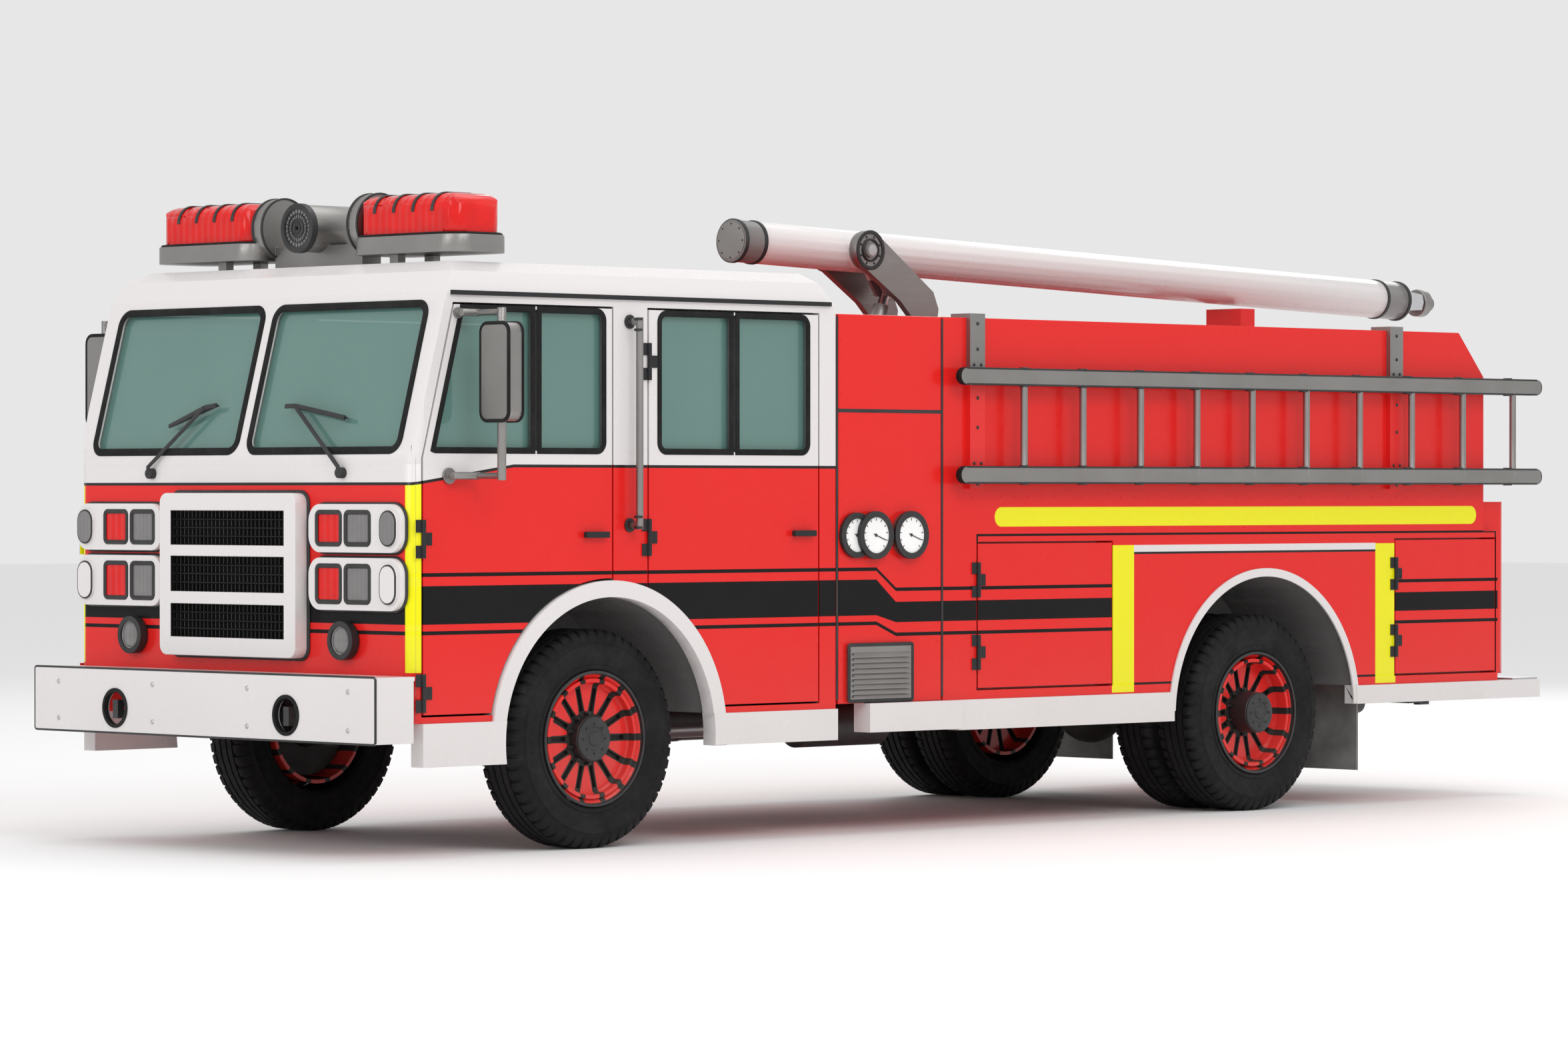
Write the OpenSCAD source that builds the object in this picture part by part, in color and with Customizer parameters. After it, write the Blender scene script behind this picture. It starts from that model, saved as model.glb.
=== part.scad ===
// Fire engine: custom four-door cab, pump house, hose body and a water tower boom.
// Millimetres. +X forward, +Y to the vehicle's left, +Z up, ground at z = 0.

/* [Overall] */
// Distance between the front and rear axle centres
wheelbase = 4800; // [4500:50:5300]
// Width over the cab and body panels
body_w = 2540; // [2440:20:2600]
// Height of the cab roof above the ground
roof_z = 2810; // [2760:10:2950]
// Height of the body sides above the ground
body_top_z = 2610; // [2500:10:2700]
// Height of the lower edge of the painted panels
skirt_z = 660; // [640:10:680]

/* [Cab] */
// Height of the paint line below the windows
belt_z = 1850; // [1800:10:1900]
// Thickness of the doors and cab walls
wall = 60; // [45:5:70]
// Width of the post between the doors
post_w = 225; // [160:5:260]
// How far the windscreen leans back
rake = 210; // [100:10:260]

/* [Wheels] */
// Outer radius of every tyre
tyre_r = 530; // [500:10:550]
// Width of every tyre
tyre_w = 280; // [250:10:285]
// Radius of the wheel rims
rim_r = 290; // [270:5:300]
// Number of slots in each wheel disc
slot_count = 14; // [8:1:18]
// Inner radius of the front wheel arches
arch_r = 685; // [660:5:700]

/* [Ladders] */
// Height of the lower ladder rail
ladder_low_z = 1807; // [1780:1:1850]
// Distance between the two rails of a ladder
ladder_h = 503; // [420:1:560]
// Number of rungs
rung_count = 10; // [6:1:14]

/* [Boom] */
// Height of the boom's pivot pin
pin_z = 3000; // [2960:10:3100]
// Outer radius of the white boom tube
boom_r = 110; // [100:5:120]
// Slope of the stowed boom, down towards the rear
boom_rest_deg = 2; // [1.5:0.1:2.2]

/* [Hidden] */
$fn = 48;

// Paint and finish
RED = "#d7261e";
WHITE = "#e9e6e6";
GREY = "#85807f";
BLACK = "#201d1f";
STEEL = "#b5b5b8";
LAMP_RED = "#f01c14";
GLASS = "#6f9e99";

// Lengths are measured from the front axle; the part's origin is at its middle.
bumper_front_x = 1500;
boom_reach_x = -wheelbase - 2950;
front_axle_x = -(bumper_front_x + boom_reach_x) / 2;
rear_axle_x = -wheelbase;
axle_z = tyre_r;
half_w = body_w / 2;
door_in_y = half_w - wall;
gap = 10;
eps = 1;

// Chassis
rail_y = 390;
rail_w = 80;
rail_bottom_z = 620;
rail_top_z = 840;
rail_front_x = 1470;
rail_rear_x = rear_axle_x - 2100;
tow_y = 650;
tow_t = 40;
tow_z = 670;
rear_tow_z = 555;
tow_bore_r = 25;
tow_len = 90;
tow_bore_x = 28;

// Cab outline
cab_front_x = 1250;
cab_rear_x = -1530;
cab_corner_r = 70;
screen_low_z = belt_z + 30;
screen_top_z = belt_z + 810;
roof_front_x = cab_front_x - rake;
drip_z = belt_z + 790;
floor_t = 30;
tunnel_half_w = 550;
engine_cover_half_w = 420;
engine_cover_z = 1500;
engine_cover_rear_x = -1300;
engine_cover_front_x = 200;
window_low_z = belt_z + 65;
window_top_z = belt_z + 735;
window_r = 45;
glass_t = 8;

// Cab doors
door_top_z = belt_z + 750;
door_low_z = skirt_z + 18;
front_hinge_x = 1190;
front_door_rear_x = -12;
rear_hinge_x = front_door_rear_x - post_w - 13;
rear_door_rear_x = -1407;
hinge_y = half_w + 11;
hinge_r = 11;
ring_w = 80;
door_arch_r = arch_r + ring_w + gap;

// Front axle
king_y = 820;
wheel_y = 1030;
hub_r = 105;
spindle_r = 35;
run_gap = 0.3;

// Rear axle
outer_wheel_y = 1075;
inner_wheel_y = 765;
rear_arch_r = 760;
rear_spindle_r = 45;

// Pump house and body
pump_front_x = -1550;
pump_rear_x = -2290;
pump_deck_z = body_top_z - 510;
body_front_x = -2300;
body_rear_x = rear_axle_x - 1872;
body_low_rear_x = rear_axle_x - 2000;
tail_rear_x = rear_axle_x - 2137;
step_rear_x = rear_axle_x - 2361;
body_low_top_z = 1500;
tail_top_z = 1665;
channel_half_w = 560;
bed_half_w = 890;
bed_floor_z = 1750;
locker_low_z = 715;
locker_top_z = 1455;
locker_door_t = 50;
front_locker_x = [-3575, -2560];
rear_locker_x = [rear_axle_x - 1975, rear_axle_x - 1100];

// Ladders
ladder_front_x = -2329;
ladder_rear_x = rear_axle_x - 2269;
ladder_y = half_w + 85;
ladder_rail_h = 84;
ladder_rail_t = 36;
rung_r = 19;
first_rung_x = -2813;
rung_pitch = (first_rung_x - ladder_rear_x - 242) / (rung_count - 1);
bracket_x = [-2528, rear_axle_x - 1076];
bracket_w = 110;

// Boom
pin_x = -2886;
pin_r = 40;
boom_front = 856;
boom_tube_rear = pin_x - boom_reach_x - 294;
boom_bore_r = boom_r - 16;
inner_boom_r = boom_bore_r - 6;
arm_y = 132;
arm_t = 40;
deck_z = 2080;
deck_t = 70;
deck_r = 450;
cylinder_foot = [-50, -850];
rod_eye = [-300, -185];
cos_rest = cos(boom_rest_deg);
sin_rest = sin(boom_rest_deg);
eye_x = rod_eye[0] * cos_rest - rod_eye[1] * sin_rest;
eye_z = rod_eye[0] * sin_rest + rod_eye[1] * cos_rest;
lift_len = norm([eye_x - cylinder_foot[0], eye_z - cylinder_foot[1]]);
lift_deg = atan2(eye_z - cylinder_foot[1], eye_x - cylinder_foot[0]);
nozzle_pin = boom_tube_rear + 110;
ear_in_y = inner_boom_r - 30;

// Hinges, door by door, and the parts of a steered axle end
hinge_zs = [780, 1500, 2350];
hinge_len = 60;
locker_hinge_zs = [900, 1270];
boss_r = 42;
boss_z = [470, 590];
king_r = 20;

// Lamps and the light bar
lamp_rows = [[1435, 1663], [1163, 1410]];
bar_x = 700;
pod_y = [400, 1120];

// Pump panel
gauge_z = 1503;
outlet_r = 39;
intake_r = 75;
outlet_len = 60;

// Nozzle tip and lift cylinder barrel
tip_r = 44;
barrel_len = lift_len - 95;

// ---------- shared shapes ----------

// Moves axle-based lengths into the part's frame
module place() {
    translate([front_axle_x, 0, 0]) children();
}

module both_sides() {
    children();
    mirror([0, 1, 0]) children();
}

// A box given by its lower and upper limits
module block(x, y, z) {
    translate([x[0], y[0], z[0]]) cube([x[1] - x[0], y[1] - y[0], z[1] - z[0]]);
}

// Extrudes a side view (x, z) between two values of y
module across(y) {
    translate([0, y[1], 0]) rotate([90, 0, 0]) linear_extrude(height = y[1] - y[0]) children();
}

// Extrudes a front view (y, z) between two values of x
module along(x) {
    translate([x[0], 0, 0]) rotate([90, 0, 90]) linear_extrude(height = x[1] - x[0]) children();
}

// Rounded rectangle between two corners
module round_rect(low, high, r) {
    translate([low[0] + r, low[1]]) square([high[0] - low[0] - 2 * r, high[1] - low[1]]);
    translate([low[0], low[1] + r]) square([high[0] - low[0], high[1] - low[1] - 2 * r]);
    for (u = [low[0] + r, high[0] - r]) {
        for (v = [low[1] + r, high[1] - r]) {
            translate([u, v]) circle(r = r);
        }
    }
}

module rod_y(r, y) {
    translate([0, y[1], 0]) rotate([90, 0, 0]) cylinder(r = r, h = y[1] - y[0]);
}

module rod_x(r, x) {
    translate([x[0], 0, 0]) rotate([0, 90, 0]) cylinder(r = r, h = x[1] - x[0]);
}

// A straight round bar between two points
module bar(from, to, r) {
    d = to - from;
    translate(from)
        rotate([0, acos(d[2] / norm(d)), atan2(d[1], d[0])])
            cylinder(r = r, h = norm(d));
}

// A disc lying in a wheel arch, about the axle at x
module arch_disc(x, r, y) {
    translate([x, 0, axle_z]) rod_y(r, y);
}

// ---------- hinges: fixed and moving knuckles on one axis ----------

module fixed_knuckles(x, zs) {
    for (z = zs) {
        for (low_z = [z - 1.5 * hinge_len, z + 0.5 * hinge_len + run_gap]) {
            translate([x, hinge_y, low_z]) cylinder(r = hinge_r, h = hinge_len - run_gap);
            block([x, x + 45], [half_w - eps, half_w + 7], [low_z, low_z + hinge_len - run_gap]);
        }
    }
}

module moving_knuckles(x, zs) {
    for (z = zs) {
        translate([x, hinge_y, z - 0.5 * hinge_len]) cylinder(r = hinge_r, h = hinge_len);
        block([x - 55, x], [half_w - eps, half_w + 7], [z - 0.5 * hinge_len, z + 0.5 * hinge_len]);
    }
}

// ---------- chassis ----------

module chassis_frame() {
    cross_x = [1200, -1400, -3300, rear_axle_x + 600, rear_axle_x - 600, rail_rear_x + 60];
    color(BLACK) place() {
        both_sides()
            block([rail_rear_x, rail_front_x], [rail_y - rail_w / 2, rail_y + rail_w / 2],
                [rail_bottom_z, rail_top_z]);
        for (x = cross_x) {
            block([x - 50, x + 50], [-rail_y, rail_y], [rail_bottom_z + 40, rail_top_z - 40]);
        }
        both_sides() tow_eye(rail_front_x - 60, 1, tow_z);
        both_sides() tow_eye(rail_rear_x + 60, -1, rear_tow_z);
        both_sides()
            block([rail_front_x - 150, rail_front_x - 58], [rail_y, tow_y + tow_t / 2],
                [rail_bottom_z, rail_bottom_z + 90]);
        both_sides()
            block([rail_rear_x + 58, rail_rear_x + 150], [rail_y - rail_w / 2, tow_y + tow_t / 2],
                [rear_tow_z - 40, rail_bottom_z + eps]);
    }
}

// Flat eye with a cross bore for a tow shackle pin
module tow_eye(x, side, z) {
    difference() {
        block([min(x, x + side * tow_len), max(x, x + side * tow_len)],
            [tow_y - tow_t / 2, tow_y + tow_t / 2], [z - 50, z + 40]);
        translate([x + side * tow_bore_x, 0, z])
            rod_y(tow_bore_r, [tow_y - tow_t, tow_y + tow_t]);
    }
}

module engine_block() {
    color(GREY) place() block([-1200, -110], [-320, 320], [500, 1400]);
}

module front_bumper() {
    plate_x = rail_front_x;
    end_y = half_w + 25;
    low_z = 550;
    high_z = rail_top_z + 20;
    color(WHITE) place() difference() {
        union() {
            block([plate_x, bumper_front_x], [-end_y, end_y], [low_z, high_z]);
            both_sides() block([cab_front_x + 15, plate_x + eps], [end_y - 40, end_y], [low_z, high_z]);
            block([cab_front_x + 8, plate_x + eps], [-end_y, end_y], [rail_top_z, high_z]);
        }
        both_sides() translate([0, tow_y, tow_z]) rod_x(85, [plate_x - 5, bumper_front_x + 5]);
    }
}

module leaf_springs(x) {
    beam_top_z = rail_bottom_z - 40;
    both_sides() {
        block([x - 650, x + 650], [rail_y - 38, rail_y + 38], [rail_bottom_z - 14, rail_bottom_z]);
        block([x - 450, x + 450], [rail_y - 36, rail_y + 36], [rail_bottom_z - 28, rail_bottom_z - 13]);
        block([x - 250, x + 250], [rail_y - 34, rail_y + 34], [beam_top_z, rail_bottom_z - 27]);
    }
}

module front_axle() {
    color(BLACK) place() {
        difference() {
            union() {
                block([-50, 50], [-king_y, king_y], [490, 580]);
                both_sides() translate([0, king_y, boss_z[0]]) cylinder(r = boss_r, h = boss_z[1] - boss_z[0]);
            }
            both_sides() translate([0, king_y, 400]) cylinder(r = king_r + run_gap, h = 300);
            both_sides() block([-60, 60], [king_y + boss_r - eps, king_y + 90], [480, 600]);
        }
        leaf_springs(0);
    }
}

module rear_axle() {
    shaft_z = axle_z + 20;
    color(BLACK) place() {
        translate([rear_axle_x, 0, axle_z]) {
            rod_y(70, [-600, 600]);
            rod_y(rear_spindle_r, [-1195, 1195]);
            sphere(r = 200);
            rod_x(95, [0, 330]);
        }
        translate([0, 0, shaft_z]) rod_x(45, [rear_axle_x + 200, -1200]);
        leaf_springs(rear_axle_x);
        both_sides()
            block([rear_axle_x - 45, rear_axle_x + 45], [rail_y - 40, rail_y + 40], [axle_z, rail_bottom_z - 39]);
    }
}

module fuel_tank() {
    tank_half_w = rail_y - rail_w / 2;
    color(BLACK) place()
        along([rear_axle_x - 1950, rear_axle_x - 1150]) round_rect([-tank_half_w, 450], [tank_half_w, 760], 60);
}

// ---------- cab ----------

// Side outline of the cab above the belt, moved inwards by t
module roof_outline(t) {
    polygon([
        [cab_front_x - t, belt_z - (t > 0 ? eps : 0)],
        [cab_front_x - t, screen_low_z],
        [roof_front_x - t, screen_top_z],
        [roof_front_x - 60 - t, roof_z - 50 - t],
        [roof_front_x - 140 - t, roof_z - t],
        [cab_rear_x + 120, roof_z - t],
        [cab_rear_x + t, roof_z - 160],
        [cab_rear_x + t, belt_z - (t > 0 ? eps : 0)]
    ]);
}

// Front outline of the cab roof, moved inwards by t
module roof_front_outline(t) {
    w = half_w - t;
    polygon([
        [-w, belt_z - 5], [w, belt_z - 5], [w, drip_z + 10], [w - 40, roof_z - 50 - t],
        [w - 150, roof_z + 5 - t], [-w + 150, roof_z + 5 - t], [-w + 40, roof_z - 50 - t], [-w, drip_z + 10]
    ]);
}

// Plan of the cab with rounded front corners
module cab_plan(z, t) {
    r = cab_corner_r - t / 2;
    translate([0, 0, z[0]]) linear_extrude(height = z[1] - z[0]) {
        polygon([
            [cab_rear_x + t, -half_w + t], [cab_front_x - t - r, -half_w + t], [cab_front_x - t - r, half_w - t],
            [cab_rear_x + t, half_w - t]
        ]);
        round_rect([0, -half_w + t], [cab_front_x - t, half_w - t], r);
    }
}

// Opening of a front door, up to z_top, moved outwards by g
module front_door_outline(g) {
    slant_x = (door_top_z - screen_low_z) / (screen_top_z - screen_low_z) * rake;
    front_x = front_hinge_x - 5;
    polygon([
        [front_door_rear_x - g, door_low_z - g], [front_x + g, door_low_z - g],
        [front_x + g, screen_low_z], [front_x - slant_x + g, door_top_z + g],
        [front_door_rear_x - g, door_top_z + g]
    ]);
}

module rear_door_outline(g) {
    polygon([
        [rear_door_rear_x - g, door_low_z - g], [rear_hinge_x - 5 + g, door_low_z - g],
        [rear_hinge_x - 5 + g, door_top_z + g], [rear_door_rear_x - g, door_top_z + g]
    ]);
}

module door_openings() {
    both_sides() across([door_in_y - gap, half_w + 50]) {
        front_door_outline(gap);
        rear_door_outline(gap);
    }
}

module wheel_well(r, y) {
    intersection() {
        arch_disc(0, r, y);
        block([-900, 900], [0, 2000], [skirt_z - 20, 1500]);
    }
}

module cab_shell() {
    floor_top = skirt_z + 8;
    floor_low = floor_top - floor_t;
    tunnel_z = rail_top_z + floor_t;
    well_in_y = 520;
    color(RED) place() difference() {
        union() {
            difference() {
                cab_plan([floor_low, belt_z], 0);
                cab_plan([floor_top, belt_z + 10], wall);
                door_openings();
            }
            block([cab_rear_x + 20, cab_front_x - 20], [-tunnel_half_w, tunnel_half_w], [floor_low, tunnel_z]);
            block([engine_cover_rear_x, engine_cover_front_x], [-engine_cover_half_w, engine_cover_half_w],
                [floor_top, engine_cover_z]);
            both_sides() wheel_well(arch_r + 45, [well_in_y, door_in_y - 6]);
            both_sides() block([rear_hinge_x - 5 + gap, front_door_rear_x - gap], [door_in_y - 40, half_w - 5],
                [axle_z + arch_r + 20, belt_z]);
        }
        block([cab_rear_x - 10, cab_front_x + 10], [-tunnel_half_w + 50, tunnel_half_w - 50],
            [floor_low - 10, rail_top_z]);
        block([engine_cover_rear_x + 35, engine_cover_front_x - 35],
            [-engine_cover_half_w + 35, engine_cover_half_w - 35], [floor_low, engine_cover_z - 35]);
        both_sides() arch_disc(0, arch_r + 15, [well_in_y + 30, half_w + 50]);
        both_sides() arch_disc(0, arch_r + ring_w, [door_in_y - 6, half_w + 50]);
    }
    color(GREY) place() both_sides() {
        fixed_knuckles(front_hinge_x, [hinge_zs[0], hinge_zs[1]]);
        fixed_knuckles(rear_hinge_x, [hinge_zs[1]]);
    }
}

// The two windscreen panes, as seen from the front
module screen_panes() {
    for (side = [-1, 1]) {
        scale([side, 1]) round_rect([45, screen_low_z + 35], [half_w - 115, screen_top_z - 55], 60);
    }
}

module cab_roof() {
    color(WHITE) place() {
        difference() {
            intersection() {
                across([-half_w, half_w]) roof_outline(0);
                along([cab_rear_x, cab_front_x]) roof_front_outline(0);
                cab_plan([belt_z, roof_z + 10], 0);
            }
            intersection() {
                across([-half_w, half_w]) roof_outline(wall - 5);
                along([cab_rear_x, cab_front_x]) roof_front_outline(wall);
            }
            along([roof_front_x - 120, cab_front_x + 50]) screen_panes();
            door_openings();
        }
        both_sides()
            block([cab_rear_x + 40, roof_front_x - 20], [half_w - 20, half_w + 14], [drip_z + 4, drip_z + 26]);
        both_sides() fixed_knuckles(rear_hinge_x, [hinge_zs[2]]);
    }
}

module windscreen() {
    depth = 25;
    color(GLASS, 0.5) place() intersection() {
        along([roof_front_x - 120, cab_front_x + 50]) screen_panes();
        across([-half_w, half_w]) polygon([
            [cab_front_x - depth, screen_low_z], [roof_front_x - depth, screen_top_z],
            [roof_front_x - depth - glass_t, screen_top_z], [cab_front_x - depth - glass_t, screen_low_z]
        ]);
    }
}

module grille() {
    half = 515;
    low_z = 930;
    high_z = 1715;
    slots = [[1020, 1180], [1240, 1410], [1465, 1630]];
    color(WHITE) place() difference() {
        along([cab_front_x, cab_front_x + 85]) round_rect([-half, low_z], [half, high_z], 50);
        for (z = slots) {
            block([cab_front_x + 15, cab_front_x + 100], [-half + 85, half - 85], z);
        }
    }
    color(BLACK) place() for (z = slots) {
        for (i = [1:3]) {
            zb = z[0] + i * (z[1] - z[0]) / 4;
            block([cab_front_x + 14, cab_front_x + 60], [-half + 80, half - 80], [zb - 5, zb + 5]);
        }
    }
}

module headlamps() {
    in_y = 560;
    out_y = half_w - 40;
    color(STEEL) place() both_sides() {
        for (z = lamp_rows) {
            difference() {
                along([cab_front_x, cab_front_x + 38]) round_rect([in_y, z[0]], [out_y, z[1]], 80);
                for (y = [in_y + 60, in_y + 270]) {
                    along([cab_front_x + 22, cab_front_x + 60]) round_rect([y, z[0] + 38], [y + 175, z[1] - 38], 20);
                }
            }
            along([cab_front_x, cab_front_x + 50]) round_rect([out_y - 140, z[0] + 30], [out_y - 20, z[1] - 30], 55);
        }
        translate([0, 800, 1020]) rod_x(78, [cab_front_x, cab_front_x + 40]);
    }
}

module dashboard() {
    top_z = belt_z - 20;
    front_x = cab_front_x - wall;
    color(BLACK) place() {
        across([-door_in_y + 50, door_in_y - 50]) polygon([
            [front_x, 1420], [front_x, top_z], [900, top_z], [840, top_z - 90], [880, 1420]
        ]);
        translate([700, 850, 1800]) rotate([0, -60, 0]) {
            rotate_extrude() translate([215, 0]) circle(r = 15);
            cylinder(r = 45, h = 25, center = true);
            for (a = [0, 120, 240]) {
                rotate([0, 0, a]) translate([0, -14, -8]) cube([216, 28, 14]);
            }
            translate([0, 0, -260]) cylinder(r = 26, h = 260);
        }
    }
}

// A seat with its front towards +X
module seat(x, y, base_z, cushion_z) {
    block([x - 230, x + 230], [y - 210, y + 210], [base_z, cushion_z - 110]);
    block([x - 250, x + 270], [y - 250, y + 250], [cushion_z - 110, cushion_z]);
    translate([x - 200, 0, cushion_z - 60]) rotate([0, -8, 0]) block([-110, 0], [y - 240, y + 240], [0, 680]);
}

module seats() {
    well_top = axle_z + arch_r + 45;
    color(GREY) place() both_sides() {
        seat(180, 860, well_top, well_top + 230);
        seat(-990, 810, skirt_z + 8, 1200);
    }
}

module light_bar() {
    color(GREY) place() {
        both_sides() {
            translate([0, 0, roof_z + 45]) linear_extrude(height = 85)
                round_rect([bar_x - 190, pod_y[0] - 30], [bar_x + 190, pod_y[1] + 30], 110);
            for (x = [bar_x - 110, bar_x + 110]) {
                block([x - 25, x + 25], [620, 680], [roof_z, roof_z + 50]);
            }
            translate([bar_x, 0, roof_z + 200]) rod_y(150, [pod_y[0] - 75, pod_y[0] - 5]);
        }
        translate([0, 0, roof_z + 190]) rod_x(115, [bar_x - 170, bar_x + 190]);
        block([bar_x - 60, bar_x + 60], [-330, 330], [roof_z, roof_z + 110]);
    }
}

module warning_lights() {
    color(LAMP_RED) place() both_sides() intersection() {
        translate([0, 0, roof_z + 130]) linear_extrude(height = 200)
            round_rect([bar_x - 160, pod_y[0]], [bar_x + 160, pod_y[1]], 90);
        across([0, 2000]) round_rect([bar_x - 160, roof_z + 50], [bar_x + 160, roof_z + 330], 90);
        along([0, 2000]) round_rect([pod_y[0], roof_z + 50], [pod_y[1], roof_z + 330], 100);
    }
}

module grab_bars() {
    post_x = (front_door_rear_x - gap + rear_hinge_x + 5) / 2;
    bar_y = half_w + 65;
    color(GREY) place() both_sides() {
        bar([post_x, bar_y, 1540], [post_x, bar_y, 2560], 18);
        for (z = [1560, 2540]) {
            bar([post_x, half_w, z], [post_x, bar_y, z], 18);
        }
        for (z = [800, 1400]) {
            bar([tail_rear_x, 1080, z], [tail_rear_x - 65, 1080, z], 15);
        }
        bar([tail_rear_x - 65, 1080, 785], [tail_rear_x - 65, 1080, 1415], 15);
    }
}

// ---------- cab doors ----------

// Window of a front door, cut straight through
module front_window() {
    intersection() {
        polygon([
            [40, window_low_z], [front_hinge_x - 65, window_low_z],
            [front_hinge_x - 65 - rake * 0.86, window_top_z], [40, window_top_z]
        ]);
        round_rect([40, window_low_z], [front_hinge_x - 40, window_top_z], window_r);
    }
}

module rear_window() {
    round_rect([rear_door_rear_x + 70, window_low_z], [rear_hinge_x - 75, window_top_z], window_r);
}

module door_leaf() {
    difference() {
        across([door_in_y, half_w]) children(0);
        across([door_in_y - 5, half_w + 5]) children(1);
        arch_disc(0, door_arch_r, [door_in_y - 5, half_w + 5]);
    }
}

module front_door_left() {
    color(RED) place() {
        door_leaf() {
            front_door_outline(0);
            front_window();
        }
        block([458, 498], [door_in_y + 15, half_w - 15], [window_low_z - eps, window_top_z + eps]);
        moving_knuckles(front_hinge_x, [hinge_zs[0], hinge_zs[1]]);
        door_handle(90);
    }
}

module rear_door_left() {
    mid_x = (rear_door_rear_x + rear_hinge_x) / 2;
    color(RED) place() {
        door_leaf() {
            rear_door_outline(0);
            rear_window();
        }
        block([mid_x - 20, mid_x + 20], [door_in_y + 15, half_w - 15], [window_low_z - eps, window_top_z + eps]);
        moving_knuckles(rear_hinge_x, [hinge_zs[1], hinge_zs[2]]);
        door_handle(rear_door_rear_x + 100);
    }
}

module door_handle(x) {
    block([x - 60, x + 90], [half_w + 18, half_w + 32], [1500, 1530]);
    for (dx = [-50, 70]) {
        block([x + dx, x + dx + 15], [half_w - eps, half_w + 20], [1503, 1527]);
    }
}

module front_door_right() {
    mirror([0, 1, 0]) front_door_left();
}

module rear_door_right() {
    mirror([0, 1, 0]) rear_door_left();
}

module front_glass_left() {
    color(GLASS, 0.5) place() difference() {
        across([half_w - 35, half_w - 35 + glass_t]) front_window();
        block([458, 498], [door_in_y, half_w], [window_low_z - 10, window_top_z + 10]);
    }
}

module rear_glass_left() {
    mid_x = (rear_door_rear_x + rear_hinge_x) / 2;
    color(GLASS, 0.5) place() difference() {
        across([half_w - 35, half_w - 35 + glass_t]) rear_window();
        block([mid_x - 20, mid_x + 20], [door_in_y, half_w], [window_low_z - 10, window_top_z + 10]);
    }
}

module front_glass_right() {
    mirror([0, 1, 0]) front_glass_left();
}

module rear_glass_right() {
    mirror([0, 1, 0]) rear_glass_left();
}

module mirror_left() {
    head_y = [half_w + 130, half_w + 330];
    mid_y = (head_y[0] + head_y[1]) / 2;
    head_x = 900;
    head_half_t = 48;
    corner_r = 45;
    low_z = belt_z + 200;
    high_z = belt_z + 660;
    // each foot is [place along, height, boss radius]
    low_foot = [1030, belt_z - 55, 38];
    high_foot = [975, door_top_z - 40, 26];
    arm_r = 15;
    rail_r = 18;
    rail_y = 50;
    post_r = 21;
    bury = 8;
    color(GREY) place() {
        along([head_x - head_half_t, head_x + head_half_t])
            round_rect([head_y[0], low_z], [head_y[1], high_z], corner_r);
        translate([head_x, mid_y, low_foot[1] - post_r])
            cylinder(r = post_r, h = low_z + bury - low_foot[1] + post_r);
        translate([head_x, mid_y, high_z - bury])
            cylinder(r = post_r, h = high_foot[1] + post_r - high_z + bury);
        for (foot = [low_foot, high_foot]) {
            translate([head_x, half_w, foot[1]]) rod_y(arm_r, [rail_y, mid_y - half_w]);
            translate([0, half_w + rail_y, foot[1]]) rod_x(rail_r, [head_x - rail_r, foot[0] + rail_r]);
            translate([foot[0], half_w, foot[1]]) rod_y(arm_r, [6, rail_y]);
            translate([foot[0], half_w, foot[1]]) rod_y(foot[2], [0, 12]);
        }
    }
}

module mirror_right() {
    mirror([0, 1, 0]) mirror_left();
}

// ---------- pump house ----------

module pump_house() {
    side_t = 80;
    color(RED) place() difference() {
        block([pump_rear_x, pump_front_x], [-half_w, half_w], [skirt_z, body_top_z]);
        block([pump_rear_x - 5, pump_front_x - 50], [-half_w + side_t, half_w - side_t], [pump_deck_z, body_top_z + 5]);
        block([pump_rear_x - 5, pump_front_x + 5], [-channel_half_w, channel_half_w], [skirt_z - 5, rail_top_z]);
    }
}

module pump_panel() {
    color(STEEL) place() {
        translate([-1784, half_w, gauge_z]) rod_y(115, [0, 32]);
        translate([-2038, half_w, gauge_z]) rod_y(115, [0, 32]);
        translate([-1665, half_w, gauge_z]) rod_y(108, [0, 16]);
        block([-2062, -1609], [half_w, half_w + 18], [672, 954]);
        mirror([0, 1, 0]) {
            block([-2230, -1610], [half_w, half_w + 10], [950, 1650]);
            for (x = [-1750, -2090]) {
                translate([x, half_w + 9, 1420]) {
                    rod_y(60, [0, 22]);
                    rod_y(outlet_r, [20, 20 + outlet_len]);
                }
            }
            translate([-1920, half_w + 9, 1120]) {
                rod_y(112, [0, 22]);
                rod_y(intake_r, [20, 20 + outlet_len]);
            }
        }
    }
}

// ---------- body ----------

module body_side_outline() {
    polygon([
        [body_low_rear_x, skirt_z], [body_front_x, skirt_z], [body_front_x, body_top_z],
        [body_rear_x + 220, body_top_z], [body_rear_x, body_top_z - 245], [body_rear_x, body_low_top_z],
        [body_low_rear_x, body_low_top_z]
    ]);
}

module locker_space(x) {
    both_sides() {
        block([x[0] + 45, x[1] - 45], [channel_half_w + 130, half_w], [locker_low_z + 45, locker_top_z - 45]);
        block([x[0] - gap, x[1] + gap], [half_w - locker_door_t - gap, half_w + 5],
            [locker_low_z - gap, locker_top_z + gap]);
    }
}

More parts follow.
